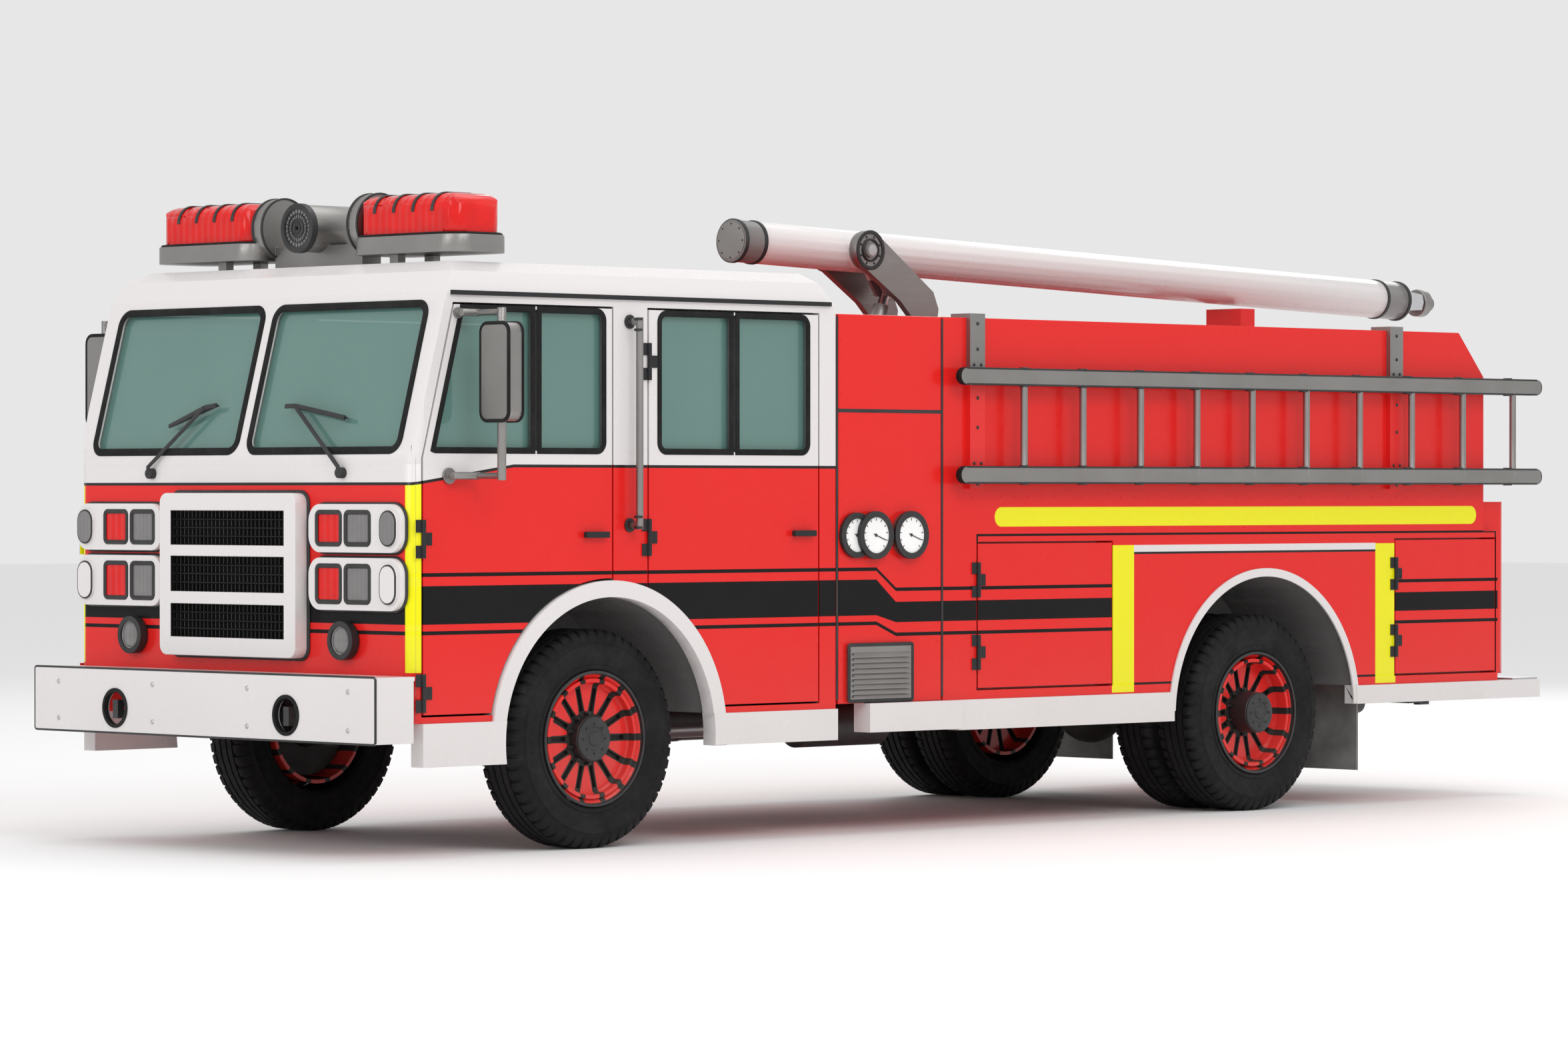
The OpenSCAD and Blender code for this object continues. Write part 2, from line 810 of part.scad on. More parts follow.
module body_shell() {
    rest_low = pin_z - boom_r - 28;
    rest_x = body_rear_x + 700;
    rest_top = pin_z - (boom_r + 22) / cos_rest - (pin_x - rest_x) * tan(boom_rest_deg);
    color(RED) place() {
        difference() {
            union() {
                across([-half_w, half_w]) body_side_outline();
                translate([0, 0, skirt_z + 37]) linear_extrude(height = tail_top_z - skirt_z - 37)
                    round_rect([tail_rear_x, -half_w + 45], [body_rear_x + 300, half_w - 45], 70);
            }
            block([rear_axle_x - 3000, body_front_x + 5], [-bed_half_w, bed_half_w], [bed_floor_z, body_top_z + 5]);
            block([rear_axle_x - 3000, body_front_x + 5], [-channel_half_w, channel_half_w],
                [skirt_z - 5, rail_top_z]);
            both_sides() arch_disc(rear_axle_x, rear_arch_r, [channel_half_w - 5, half_w + 5]);
            locker_space(front_locker_x);
            locker_space(rear_locker_x);
        }
        both_sides() {
            fixed_knuckles(front_locker_x[1] + 5, locker_hinge_zs);
            fixed_knuckles(rear_locker_x[1] + 5, locker_hinge_zs);
        }
        block([rest_x - 60, rest_x + 60], [-bed_half_w - 5, bed_half_w + 5], [body_top_z - 160, body_top_z - 60]);
        block([rest_x - 60, rest_x + 60], [-130, 130], [body_top_z - 61, rest_top]);
    }
}

module locker_door(x) {
    color(RED) place() {
        block([x[0], x[1]], [half_w - locker_door_t, half_w], [locker_low_z, locker_top_z]);
        moving_knuckles(x[1] + 5, locker_hinge_zs);
    }
}

module front_locker_door_left() {
    locker_door(front_locker_x);
}

module front_locker_door_right() {
    mirror([0, 1, 0]) locker_door(front_locker_x);
}

module rear_locker_door_left() {
    locker_door(rear_locker_x);
}

module rear_locker_door_right() {
    mirror([0, 1, 0]) locker_door(rear_locker_x);
}

module tailboard() {
    color(STEEL) place() {
        block([step_rear_x, tail_rear_x], [-half_w, half_w], [skirt_z - 60, skirt_z + 10]);
        both_sides()
            block([tail_rear_x - eps, rail_rear_x], [rail_y - 30, rail_y + 30], [rail_bottom_z, skirt_z + 10]);
    }
}

// Half ring around a wheel arch
module arch_ring(x, r_in, r_out, y, low_z) {
    intersection() {
        difference() {
            arch_disc(x, r_out, y);
            arch_disc(x, r_in, [y[0] - 5, y[1] + 5]);
        }
        block([x - 1000, x + 1000], [y[0] - 5, y[1] + 5], [low_z, 2000]);
    }
}

module rub_rails() {
    out_y = half_w + 18;
    in_y = half_w - 70;
    cab_floor_low = skirt_z + 8 - floor_t;
    rear_half = sqrt(pow(rear_arch_r, 2) - pow(skirt_z - axle_z, 2));
    color(WHITE) place() both_sides() {
        arch_ring(0, arch_r, arch_r + ring_w, [door_in_y - 6, half_w + 15], 480);
        arch_ring(rear_axle_x, rear_arch_r - 25, rear_arch_r + 20, [half_w, half_w + 12], 560);
        difference() {
            union() {
                block([600, 1200], [in_y, out_y], [434, cab_floor_low]);
                block([cab_rear_x, -600], [in_y, out_y], [482, cab_floor_low]);
            }
            arch_disc(0, arch_r, [in_y - 5, out_y + 5]);
        }
        block([-2400, -1730], [in_y, half_w + 45], [514, skirt_z]);
        block([rear_axle_x + rear_half, -2400], [in_y, out_y], [506, skirt_z]);
        block([step_rear_x + 225, rear_axle_x - rear_half], [in_y, out_y], [559, skirt_z]);
        block([step_rear_x, step_rear_x + 226], [half_w, out_y], [559, skirt_z]);
    }
}

module mud_flaps() {
    flap_x = rear_axle_x - 850;
    color(BLACK) place() both_sides()
        block([flap_x - 14, flap_x], [620, half_w - 71], [190, skirt_z]);
}

module ladder() {
    for (z = [ladder_low_z, ladder_low_z + ladder_h]) {
        across([ladder_y - ladder_rail_t / 2, ladder_y + ladder_rail_t / 2])
            round_rect([ladder_rear_x, z - ladder_rail_h / 2], [ladder_front_x, z + ladder_rail_h / 2], 41);
    }
    for (i = [0:rung_count - 1]) {
        translate([first_rung_x - i * rung_pitch, ladder_y, ladder_low_z])
            cylinder(r = rung_r, h = ladder_h);
    }
}

module ladder_bracket(x) {
    arm_y0 = ladder_y - ladder_rail_t / 2;
    w = [x - bracket_w / 2, x + bracket_w / 2];
    block(w, [half_w, half_w + 28], [ladder_low_z - 70, body_top_z + 22]);
    block(w, [half_w - 110, half_w + 28], [body_top_z, body_top_z + 22]);
    for (z = [ladder_low_z, ladder_low_z + ladder_h]) {
        block(w, [half_w + 20, arm_y0 + eps], [z - 30, z + 30]);
    }
}

module ladders() {
    color(GREY) place() both_sides() {
        ladder();
        for (x = bracket_x) {
            ladder_bracket(x);
        }
    }
}

// ---------- wheels ----------

// Tyre about the Y axis, centred on the origin
module tyre() {
    w = tyre_w / 2;
    rotate([90, 0, 0]) rotate_extrude() polygon([
        [rim_r, -w + 25], [rim_r + 20, -w + 8], [rim_r + 90, -w], [tyre_r - 60, -w + 4], [tyre_r - 22, -w + 16],
        [tyre_r, -w + 42], [tyre_r, w - 42], [tyre_r - 22, w - 16], [tyre_r - 60, w - 4],
        [rim_r + 90, w], [rim_r + 20, w - 8], [rim_r, w - 25]
    ]);
}

// Rim and slotted disc, with the disc at y = disc_y and its outer side towards +Y
module wheel(disc_y, bore_r, hub_y, bore_y) {
    rim_w = tyre_w / 2 - 25;
    difference() {
        union() {
            difference() {
                rod_y(rim_r, [-rim_w, rim_w]);
                rod_y(rim_r - 18, [-rim_w - 5, rim_w + 5]);
            }
            rod_y(rim_r - 5, [disc_y - 9, disc_y + 9]);
            rod_y(hub_r, hub_y);
        }
        rod_y(bore_r, bore_y);
        for (i = [0:slot_count - 1]) {
            rotate([0, i * 360 / slot_count, 0])
                block([hub_r + 30, rim_r - 45], [disc_y - 20, disc_y + 20], [-11, 11]);
        }
    }
}

module at_front_wheel() {
    place() translate([0, wheel_y, axle_z]) children();
}

module knuckle_left() {
    color(GREY) place() {
        translate([0, king_y, 430]) {
            cylinder(r = king_r, h = 200);
            cylinder(r = boss_r, h = boss_z[0] - 430 - run_gap);
        }
        translate([0, king_y, boss_z[1] + run_gap]) cylinder(r = boss_r, h = 40 - run_gap);
        block([-42, 42], [king_y, king_y + 80], [430, boss_z[0] - run_gap]);
        block([-42, 42], [king_y, king_y + 80], [boss_z[1] + run_gap, 630]);
        block([-42, 42], [king_y + boss_r + 6, king_y + 80], [430, 630]);
        translate([0, 0, axle_z]) rod_y(spindle_r, [king_y + 70, 1125]);
    }
}

module knuckle_right() {
    mirror([0, 1, 0]) knuckle_left();
}

module front_tyre_left() {
    color(BLACK) at_front_wheel() tyre();
}

module front_tyre_right() {
    mirror([0, 1, 0]) front_tyre_left();
}

module front_wheel_left() {
    color(RED) at_front_wheel() wheel(60, spindle_r + run_gap, [-100, 125], [-105, 103]);
}

module front_wheel_right() {
    mirror([0, 1, 0]) front_wheel_left();
}

module rear_tyres_left() {
    color(BLACK) place() for (y = [inner_wheel_y, outer_wheel_y]) {
        translate([rear_axle_x, y, axle_z]) tyre();
    }
}

module rear_tyres_right() {
    mirror([0, 1, 0]) rear_tyres_left();
}

module rear_wheels_left() {
    color(RED) place() {
        translate([rear_axle_x, outer_wheel_y, axle_z]) wheel(20, rear_spindle_r + run_gap, [-310, 155], [-320, 133]);
        translate([rear_axle_x, inner_wheel_y, axle_z]) wheel(-20, rear_spindle_r + run_gap, [-60, 30], [-70, 40]);
    }
}

module rear_wheels_right() {
    mirror([0, 1, 0]) rear_wheels_left();
}

// ---------- boom ----------

module at_pin() {
    place() translate([pin_x, 0, pin_z]) children();
}

// The stowed boom's own axes: -X along the boom to the rear
module on_boom() {
    at_pin() rotate([0, -boom_rest_deg, 0]) children();
}

module boom_pedestal() {
    color(GREY) place() translate([pin_x, 0, 0]) {
        translate([0, 0, bed_floor_z]) cylinder(r = 340, h = deck_z - deck_t - run_gap - bed_floor_z);
        translate([0, 0, bed_floor_z]) cylinder(r = 430, h = 40);
    }
}

module turntable() {
    foot_z = pin_z + cylinder_foot[1];
    color(GREY) place() translate([pin_x, 0, 0]) {
        translate([0, 0, deck_z - deck_t]) cylinder(r = deck_r, h = deck_t);
        both_sides() difference() {
            across([arm_y, arm_y + arm_t]) {
                polygon([
                    [-420, deck_z - 10], [-230, deck_z - 10], [-330, 2640], [-230, 2735],
                    [30, 2900], [-50, 3090], [-480, 2790], [-520, 2700]
                ]);
                translate([0, pin_z]) circle(r = 105);
            }
            translate([0, 0, pin_z]) rod_y(pin_r + run_gap, [0, 400]);
        }
        both_sides() across([26, 46]) {
            translate([cylinder_foot[0], foot_z]) circle(r = 48);
            polygon([
                [cylinder_foot[0] - 60, deck_z - 5], [cylinder_foot[0] + 60, deck_z - 5],
                [cylinder_foot[0] + 46, foot_z + 10], [cylinder_foot[0] - 46, foot_z + 10]
            ]);
        }
        translate([cylinder_foot[0], 0, foot_z]) rod_y(20, [-46, 46]);
    }
}

module boom() {
    lug_top = boom_bore_r - 2;
    color(WHITE) on_boom() {
        difference() {
            rod_x(boom_r, [-boom_tube_rear, boom_front]);
            rod_x(boom_bore_r, [-boom_tube_rear + 60, -150]);
            rod_x(inner_boom_r + run_gap, [-boom_tube_rear - 5, -boom_tube_rear + 65]);
        }
        rod_y(100, [-arm_y + 6, arm_y - 6]);
        rod_y(pin_r, [-arm_y - arm_t - 15, arm_y + arm_t + 15]);
        both_sides() across([26, 46]) polygon([
            [rod_eye[0] - 130, -lug_top], [rod_eye[0] + 130, -lug_top],
            [rod_eye[0] + 40, rod_eye[1] - 40], [rod_eye[0] - 40, rod_eye[1] - 40]
        ]);
    }
}

module inner_boom() {
    color(STEEL) on_boom() difference() {
        union() {
            rod_x(inner_boom_r, [-boom_tube_rear - 40, -200]);
            rod_x(boom_bore_r - run_gap, [-260, -200]);
        }
        rod_x(inner_boom_r - 14, [-boom_tube_rear - 20, -220]);
    }
    color(STEEL) on_boom() both_sides() across([ear_in_y, ear_in_y + 18])
        polygon([
            [-boom_tube_rear - 30, -55], [-nozzle_pin - 30, -45], [-nozzle_pin - 45, 0],
            [-nozzle_pin - 30, 45], [-boom_tube_rear - 30, 55]
        ]);
}

module nozzle() {
    reach = (pin_x - boom_reach_x - tip_r * sin_rest) / cos_rest;
    color(GREY) on_boom() {
        translate([-nozzle_pin, 0, 0]) {
            rod_y(46, [-ear_in_y + run_gap, ear_in_y - run_gap]);
            rod_x(38, [-100, 0]);
        }
        rod_x(80, [-reach + 60, -nozzle_pin - 60]);
        rod_x(tip_r, [-reach, -reach + 61]);
    }
}

module at_lift() {
    at_pin() translate([cylinder_foot[0], 0, cylinder_foot[1]]) rotate([0, 90 - lift_deg, 0]) children();
}

module lift_cylinder() {
    color(GREY) at_lift() difference() {
        union() {
            rod_y(40, [-20, 20]);
            translate([0, 0, 60]) cylinder(r = 44, h = barrel_len - 60);
            cylinder(r = 24, h = 70);
        }
        rod_y(20 + run_gap, [-30, 30]);
        translate([0, 0, 75]) cylinder(r = 25 + run_gap, h = barrel_len);
    }
}

module lift_rod() {
    color(STEEL) at_lift() {
        translate([0, 0, 85]) cylinder(r = 25, h = lift_len - 85);
        translate([0, 0, lift_len]) rod_y(32, [-20, 20]);
    }
}

chassis_frame();
engine_block();
front_bumper();
front_axle();
rear_axle();
fuel_tank();
cab_shell();
cab_roof();
windscreen();
grille();
headlamps();
dashboard();
seats();
light_bar();
warning_lights();
grab_bars();
pump_house();
pump_panel();
body_shell();
tailboard();
rub_rails();
mud_flaps();
ladders();
boom_pedestal();
front_door_left();
front_door_right();
rear_door_left();
rear_door_right();
front_glass_left();
front_glass_right();
rear_glass_left();
rear_glass_right();
mirror_left();
mirror_right();
front_locker_door_left();
front_locker_door_right();
rear_locker_door_left();
rear_locker_door_right();
knuckle_left();
knuckle_right();
front_tyre_left();
front_tyre_right();
front_wheel_left();
front_wheel_right();
rear_tyres_left();
rear_tyres_right();
rear_wheels_left();
rear_wheels_right();
turntable();
boom();
inner_boom();
nozzle();
lift_cylinder();
lift_rod();
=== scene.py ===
"""Fire engine: camera, light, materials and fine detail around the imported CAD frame. Metres."""
from math import cos, pi, radians, sin

import bmesh
import bpy
from mathutils import Matrix, Vector


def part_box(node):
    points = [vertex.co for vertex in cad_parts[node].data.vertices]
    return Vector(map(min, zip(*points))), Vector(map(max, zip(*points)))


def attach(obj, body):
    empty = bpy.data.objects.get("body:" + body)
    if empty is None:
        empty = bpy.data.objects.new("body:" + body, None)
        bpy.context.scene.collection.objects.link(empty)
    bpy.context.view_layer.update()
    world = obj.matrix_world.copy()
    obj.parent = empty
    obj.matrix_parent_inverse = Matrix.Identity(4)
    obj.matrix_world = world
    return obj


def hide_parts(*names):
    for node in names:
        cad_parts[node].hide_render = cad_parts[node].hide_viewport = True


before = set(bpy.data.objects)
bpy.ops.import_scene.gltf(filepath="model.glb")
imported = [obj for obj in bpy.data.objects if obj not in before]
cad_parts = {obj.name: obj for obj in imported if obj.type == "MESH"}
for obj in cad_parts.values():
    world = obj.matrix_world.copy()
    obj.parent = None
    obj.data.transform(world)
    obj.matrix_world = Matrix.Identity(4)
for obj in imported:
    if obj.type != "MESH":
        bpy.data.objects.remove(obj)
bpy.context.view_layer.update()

SIDES = (("left", 1), ("right", -1))
BODY = "chassis"

# Places that the frame gives: the front axle is the middle of the front tyres.
tyre_low, tyre_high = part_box("front_tyre_left")
AXLE_X = (tyre_low[0] + tyre_high[0]) / 2
AXLE_Z = (tyre_low[2] + tyre_high[2]) / 2
TYRE_R = (tyre_high[2] - tyre_low[2]) / 2
rear_low, rear_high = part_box("rear_tyres_left")
REAR_X = (rear_low[0] + rear_high[0]) / 2
HALF_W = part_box("pump_house")[1][1]
cab_low, cab_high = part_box("cab_roof")
BELT_Z, ROOF_Z = cab_low[2], cab_high[2]
CAB_FRONT = cab_high[0]
CAB_NOSE = CAB_FRONT - AXLE_X

# Sizes that more than one part uses. X is from the front axle and Z from the ground.
CAB_BACK = -1.54
SILL_Z = 1.88
WIND_DX, WIND_DZ = 0.21, 0.78
RIM_R = 0.325
PIN_X, PIN_Z = -2.886, 3.0
BOOM_FRONT, BOOM_REAR, BOOM_R = 0.856, -4.57, 0.110
LADDER_ZS = (1.807, 2.310)
BRACKET_XS = (-2.528, REAR_X - AXLE_X - 1.076)
TOW_Y, TOW_Z = 0.650, 0.670


def at(x, y, z):
    """A point given from the front axle, on the ground."""
    return Vector((x + AXLE_X, y, z))


def new_object(name, data):
    """An object that is in the scene."""
    obj = bpy.data.objects.new(name, data)
    bpy.context.collection.objects.link(obj)
    return obj


def round_edges(obj, width):
    bevel = obj.modifiers.new("bevel", "BEVEL")
    bevel.width = width
    bevel.segments = 2
    bevel.limit_method = "ANGLE"
    bevel.angle_limit = radians(40)
    bevel.harden_normals = True


# ---------- camera ----------

CAMERA_PLACE = at(18.705, 21.537, 1.715)
CAMERA_YAW = radians(-134.44)
CAMERA_PITCH = radians(-0.295)
CAMERA_LENS = 131.76


def make_camera():
    data = bpy.data.cameras.new("camera")
    data.lens = CAMERA_LENS
    data.sensor_width = 36.0
    data.clip_end = 300.0
    camera = new_object("camera", data)
    look = Vector((
        cos(CAMERA_YAW) * cos(CAMERA_PITCH),
        sin(CAMERA_YAW) * cos(CAMERA_PITCH),
        sin(CAMERA_PITCH),
    ))
    camera.location = CAMERA_PLACE
    camera.rotation_euler = look.to_track_quat("-Z", "Y").to_euler()
    bpy.context.scene.camera = camera
    bpy.context.scene.view_settings.view_transform = "Standard"


make_camera()


# ---------- stage and light ----------

def make_stage():
    floor_mesh = bpy.data.meshes.new("floor")
    size = 90.0
    floor_mesh.from_pydata(
        [(-size, -size, 0), (size, -size, 0), (size, size, 0), (-size, size, 0)], [], [(0, 1, 2, 3)]
    )
    mat = bpy.data.materials.new("floor")
    mat.use_nodes = True
    shader = mat.node_tree.nodes["Principled BSDF"]
    shader.inputs["Base Color"].default_value = (0.9, 0.9, 0.9, 1)
    shader.inputs["Roughness"].default_value = 0.75
    floor_mesh.materials.append(mat)
    new_object("floor", floor_mesh)


def area_light(name, place, target, size, power):
    data = bpy.data.lights.new(name, "AREA")
    data.shape = "RECTANGLE"
    data.size, data.size_y = size
    data.energy = power
    light = new_object(name, data)
    light.location = place
    light.rotation_euler = (Vector(target) - Vector(place)).to_track_quat("-Z", "Y").to_euler()


def make_light():
    world = bpy.data.worlds.new("studio")
    bpy.context.scene.world = world
    world.use_nodes = True
    back = world.node_tree.nodes["Background"]
    back.inputs["Color"].default_value = (1.0, 1.0, 1.0, 1)
    back.inputs["Strength"].default_value = 0.80
    area_light("key", (7, 16, 13), (0, 0, 1), (12, 7), 1080)
    area_light("front", (19, 1, 8), (3, 0, 1.4), (8, 6), 520)
    area_light("top", (-2, 1, 15), (0, 0, 1), (14, 8), 560)
    area_light("back", (-15, -10, 9), (-1, 0, 1), (10, 6), 420)


make_stage()
make_light()


# ---------- node helpers ----------

class Tree:
    """Short calls for building a material's nodes."""

    def __init__(self, name):
        self.mat = bpy.data.materials.new(name)
        self.mat.use_nodes = True
        self.nodes = self.mat.node_tree.nodes
        self.links = self.mat.node_tree.links
        self.shader = self.nodes["Principled BSDF"]
        coord = self.nodes.new("ShaderNodeTexCoord")
        self.place = coord.outputs["Object"]
        split = self.nodes.new("ShaderNodeSeparateXYZ")
        self.links.new(self.place, split.inputs[0])
        self.x, self.y, self.z = split.outputs[:3]

    def put(self, socket, value):
        if isinstance(value, bpy.types.NodeSocket):
            self.links.new(value, socket)
        elif isinstance(value, (tuple, list)) and len(value) == 3 and socket.type == "RGBA":
            socket.default_value = (*value, 1)
        else:
            socket.default_value = value

    def set(self, **values):
        for key, value in values.items():
            self.put(self.shader.inputs[key.replace("_", " ")], value)
        return self

    def math(self, kind, a, b=0.0):
        node = self.nodes.new("ShaderNodeMath")
        node.operation = kind
        self.put(node.inputs[0], a)
        self.put(node.inputs[1], b)
        return node.outputs[0]

    def add(self, a, b):
        return self.math("ADD", a, b)

    def sub(self, a, b):
        return self.math("SUBTRACT", a, b)

    def mul(self, a, b):
        return self.math("MULTIPLY", a, b)

    def mag(self, a):
        return self.math("ABSOLUTE", a)

    def less(self, a, b):
        """1 where a is under b."""
        return self.math("LESS_THAN", a, b)

    def more(self, a, b):
        """1 where a is over b."""
        return self.math("GREATER_THAN", a, b)

    def both(self, *masks):
        out = masks[0]
        for mask in masks[1:]:
            out = self.mul(out, mask)
        return out

    def either(self, *masks):
        out = masks[0]
        for mask in masks[1:]:
            out = self.math("MAXIMUM", out, mask)
        return out

    def within(self, value, low, high):
        """1 where value is between low and high."""
        return self.both(self.more(value, low), self.less(value, high))

    def ramp(self, value, a, b, out_a, out_b):
        """Straight line from out_a at a to out_b at b, held flat outside them."""
        node = self.nodes.new("ShaderNodeMapRange")
        for i, v in enumerate((value, a, b, out_a, out_b)):
            self.put(node.inputs[i], v)
        return node.outputs[0]

    def mix(self, fac, a, b):
        node = self.nodes.new("ShaderNodeMix")
        node.data_type = "RGBA"
        self.put(node.inputs[0], fac)
        self.put(node.inputs[6], a)
        self.put(node.inputs[7], b)
        return node.outputs[2]

    def noise(self, scale, detail=3.0, stretch=(1, 1, 1)):
        vector = self.place
        if stretch != (1, 1, 1):
            node = self.nodes.new("ShaderNodeVectorMath")
            node.operation = "MULTIPLY"
            self.links.new(self.place, node.inputs[0])
            node.inputs[1].default_value = stretch
            vector = node.outputs[0]
        node = self.nodes.new("ShaderNodeTexNoise")
        node.inputs["Scale"].default_value = scale
        node.inputs["Detail"].default_value = detail
        self.links.new(vector, node.inputs["Vector"])
        return node.outputs["Fac"]

    def rough(self, scale, detail, low, high):
        """Cloudy roughness between low and high."""
        return self.set(Roughness=self.ramp(self.noise(scale, detail), 0.3, 0.7, low, high))

    def bump(self, height, strength, distance=0.001):
        node = self.nodes.new("ShaderNodeBump")
        node.inputs["Strength"].default_value = strength
        node.inputs["Distance"].default_value = distance
        self.put(node.inputs["Height"], height)
        self.links.new(node.outputs[0], self.shader.inputs["Normal"])
        return self


# ---------- materials ----------

RED = (0.73, 0.014, 0.012)
WHITE = (0.71, 0.685, 0.68)
BLACK = (0.010, 0.0095, 0.010)
YELLOW = (0.82, 0.78, 0.008)
DARK_GREY = (0.03, 0.03, 0.032)
INNER_GREY = (0.13, 0.128, 0.127)
DUST = (0.30, 0.27, 0.23)


def paint_finish(tree, colour, dust=0.06, black=0.0):
    """Clear-coated vehicle paint with faint orange peel and a little road dust low down."""
    cloud = tree.noise(2.2, 5.0)
    low = tree.ramp(tree.z, 0.25, 1.1, 1.0, 0.0)
    amount = tree.mul(tree.mul(low, cloud), dust * 2.2)
    amount = tree.add(amount, tree.mul(cloud, 0.012))
    tree.set(Base_Color=tree.mix(amount, colour, DUST))
    tree.set(Roughness=tree.ramp(tree.noise(9.0, 4.0), 0.3, 0.8, 0.20, 0.34))
    tree.set(Coat_Weight=tree.ramp(black, 0, 1, 0.12, 0.02), Coat_Roughness=0.06)
    tree.set(Specular_IOR_Level=tree.ramp(black, 0, 1, 0.24, 0.08))
    return tree.bump(tree.noise(140.0, 2.0), 0.05, 0.0008)


def white_paint():
    tree = Tree("white_paint")
    return paint_finish(tree, WHITE, 0.10).mat


def livery():
    """Red paint with the white cab top, the black waist band and its lines, and the yellow strips."""
    t = Tree("livery")
    x, z, ay = t.sub(t.x, AXLE_X), t.z, t.mag(t.y)
    side = t.more(ay, HALF_W - 0.006)
    front = t.more(x, CAB_NOSE - 0.075)
    skin = t.either(side, front)

    # The band steps down across the pump house and stops at the wheel panel.
    step = (-1.96, -1.82)
    panel = (-5.727, -3.749)
    upright = 0.172
    band_mid = t.ramp(x, *step, 1.1145, 1.19)
    band_half = t.ramp(x, *step, 0.0515, 0.09)
    off = t.sub(z, band_mid)
    band = t.less(t.mag(off), band_half)
    line_up = t.ramp(x, *step, 0.1145, 0.142)
    line_down = t.ramp(x, *step, -0.1125, -0.13)
    lines = t.either(
        t.less(t.mag(t.sub(off, line_up)), 0.009),
        t.less(t.mag(t.sub(off, line_down)), 0.009),
    )
    open_run = t.either(t.more(x, panel[1] + upright), t.less(x, panel[0] - upright - 0.001))
    black = t.both(t.either(band, lines), open_run)

    # Yellow: the cab's corners, the wheel panel's two sides, and the long strip with round ends.
    strip_mid, strip_half, strip_z, strip_r = -4.6455, 1.9115, 1.592, 0.05
    over = t.math("MAXIMUM", t.sub(t.mag(t.sub(x, strip_mid)), strip_half), 0.0)
    rise = t.sub(z, strip_z)
    strip_far = t.add(t.mul(over, over), t.mul(rise, rise))
    yellow = t.either(
        t.both(t.more(x, 1.195), t.more(ay, HALF_W - 0.055), t.within(z, 0.876, 1.795)),
        t.both(t.within(x, panel[1], panel[1] + upright), t.within(z, 0.668, 1.441), side),
        t.both(t.within(x, panel[0] - upright, panel[0]), t.within(z, 0.668, 1.438), side),
        t.both(t.less(strip_far, strip_r ** 2), side),
    )

    # A black line round the lockers, a painted shadow line that stands in for the gaps round the locker
    # doors, and the white strip over the wheel panel.
    line = 0.012
    core_x, core_z = (-6.774, -2.560), (0.717, 1.493)
    box_x = t.within(x, core_x[0] - line, core_x[1] + line)
    box_z = t.within(z, core_z[0] - line, core_z[1] + line)
    core = t.both(t.within(x, *core_x), t.within(z, *core_z))
    # outline is the painted shadow line of the locker gaps, 12 mm wide, mixed in as black below.
    outline = t.both(box_x, box_z, t.sub(1.0, core), side)
    strip = t.both(t.within(x, *panel), t.within(z, 1.405, 1.441), side)
    strip_line = t.both(t.within(x, *panel), t.within(z, 1.405 - line, 1.405), side)

    # The white top dips towards the front corners.
    belt = t.ramp(x, 0.62, 1.235, BELT_Z, 1.765)
    top = t.both(t.more(z, belt), t.more(x, CAB_BACK))
    belt_line = t.both(t.within(t.sub(z, belt), -0.014, 0.0), t.more(x, CAB_BACK), skin)

    # Black for the waist band on the skin and for the painted shadow line round the lockers.
    colour = t.mix(t.either(t.both(black, skin), outline), RED, BLACK)
    colour = t.mix(yellow, colour, YELLOW)
    colour = t.mix(strip, colour, WHITE)
    colour = t.mix(strip_line, colour, BLACK)
    colour = t.mix(top, colour, WHITE)
    colour = t.mix(belt_line, colour, BLACK)

    # Grey inside the cab, behind the sloping nose and back, and in the wheel wells; near black hinges.
    nose = t.ramp(z, SILL_Z, ROOF_Z, CAB_NOSE - 0.03, CAB_NOSE - 0.44)
    back = t.ramp(z, 2.54, ROOF_Z, CAB_BACK + 0.05, -1.10)
    inside = t.both(
        t.less(ay, HALF_W - 0.012), t.more(x, back), t.less(x, nose),
        t.within(z, 0.64, ROOF_Z - 0.07), t.less(t.add(ay, t.mul(z, 0.4)), 2.32),
    )
    wells = []
    for wheel_x, arch in ((0.0, 0.775), (REAR_X - AXLE_X, 0.80)):
        dx, dz = t.sub(x, wheel_x), t.sub(z, AXLE_Z)
        far = t.add(t.mul(dx, dx), t.mul(dz, dz))
        wells.append(t.both(t.less(far, arch * arch), t.less(ay, HALF_W - 0.004)))
    colour = t.mix(t.either(inside, *wells), colour, INNER_GREY)
    proud = t.both(t.more(ay, HALF_W + 0.004), t.less(x, 1.24))
    colour = t.mix(proud, colour, DARK_GREY)
    dark = t.either(t.both(black, skin), outline, proud)
    return paint_finish(t, colour, black=dark).mat


GRILLE_ROWS = ((1.020, 1.180), (1.240, 1.410), (1.465, 1.630))


def grille_paint():
    """White frame with the openings and their slats in black."""
    t = Tree("grille_paint")
    x = t.sub(t.x, CAB_FRONT)
    edge = 0.0005
    rows = t.either(*[t.within(t.z, low - edge, high + edge) for low, high in GRILLE_ROWS])
    hole = t.both(rows, t.less(t.mag(t.y), 0.4305), t.less(x, 0.0845))
    return paint_finish(t, t.mix(hole, WHITE, BLACK), 0.05, hole).mat


def boom_paint():
    """White tube with grey ends and grey pivot bosses."""
    t = Tree("boom_paint")
    x = t.sub(t.x, AXLE_X + PIN_X)
    ends = t.either(t.more(x, BOOM_FRONT - 0.150), t.less(x, BOOM_REAR + 0.207))
    boss = t.more(t.mag(t.y), BOOM_R + 0.002)
    low = t.less(t.z, PIN_Z - 0.15)
    lug = t.both(low, t.more(x, -1.2))
    return paint_finish(t, t.mix(t.either(ends, boss, lug), WHITE, (0.20, 0.195, 0.19)), 0.05).mat


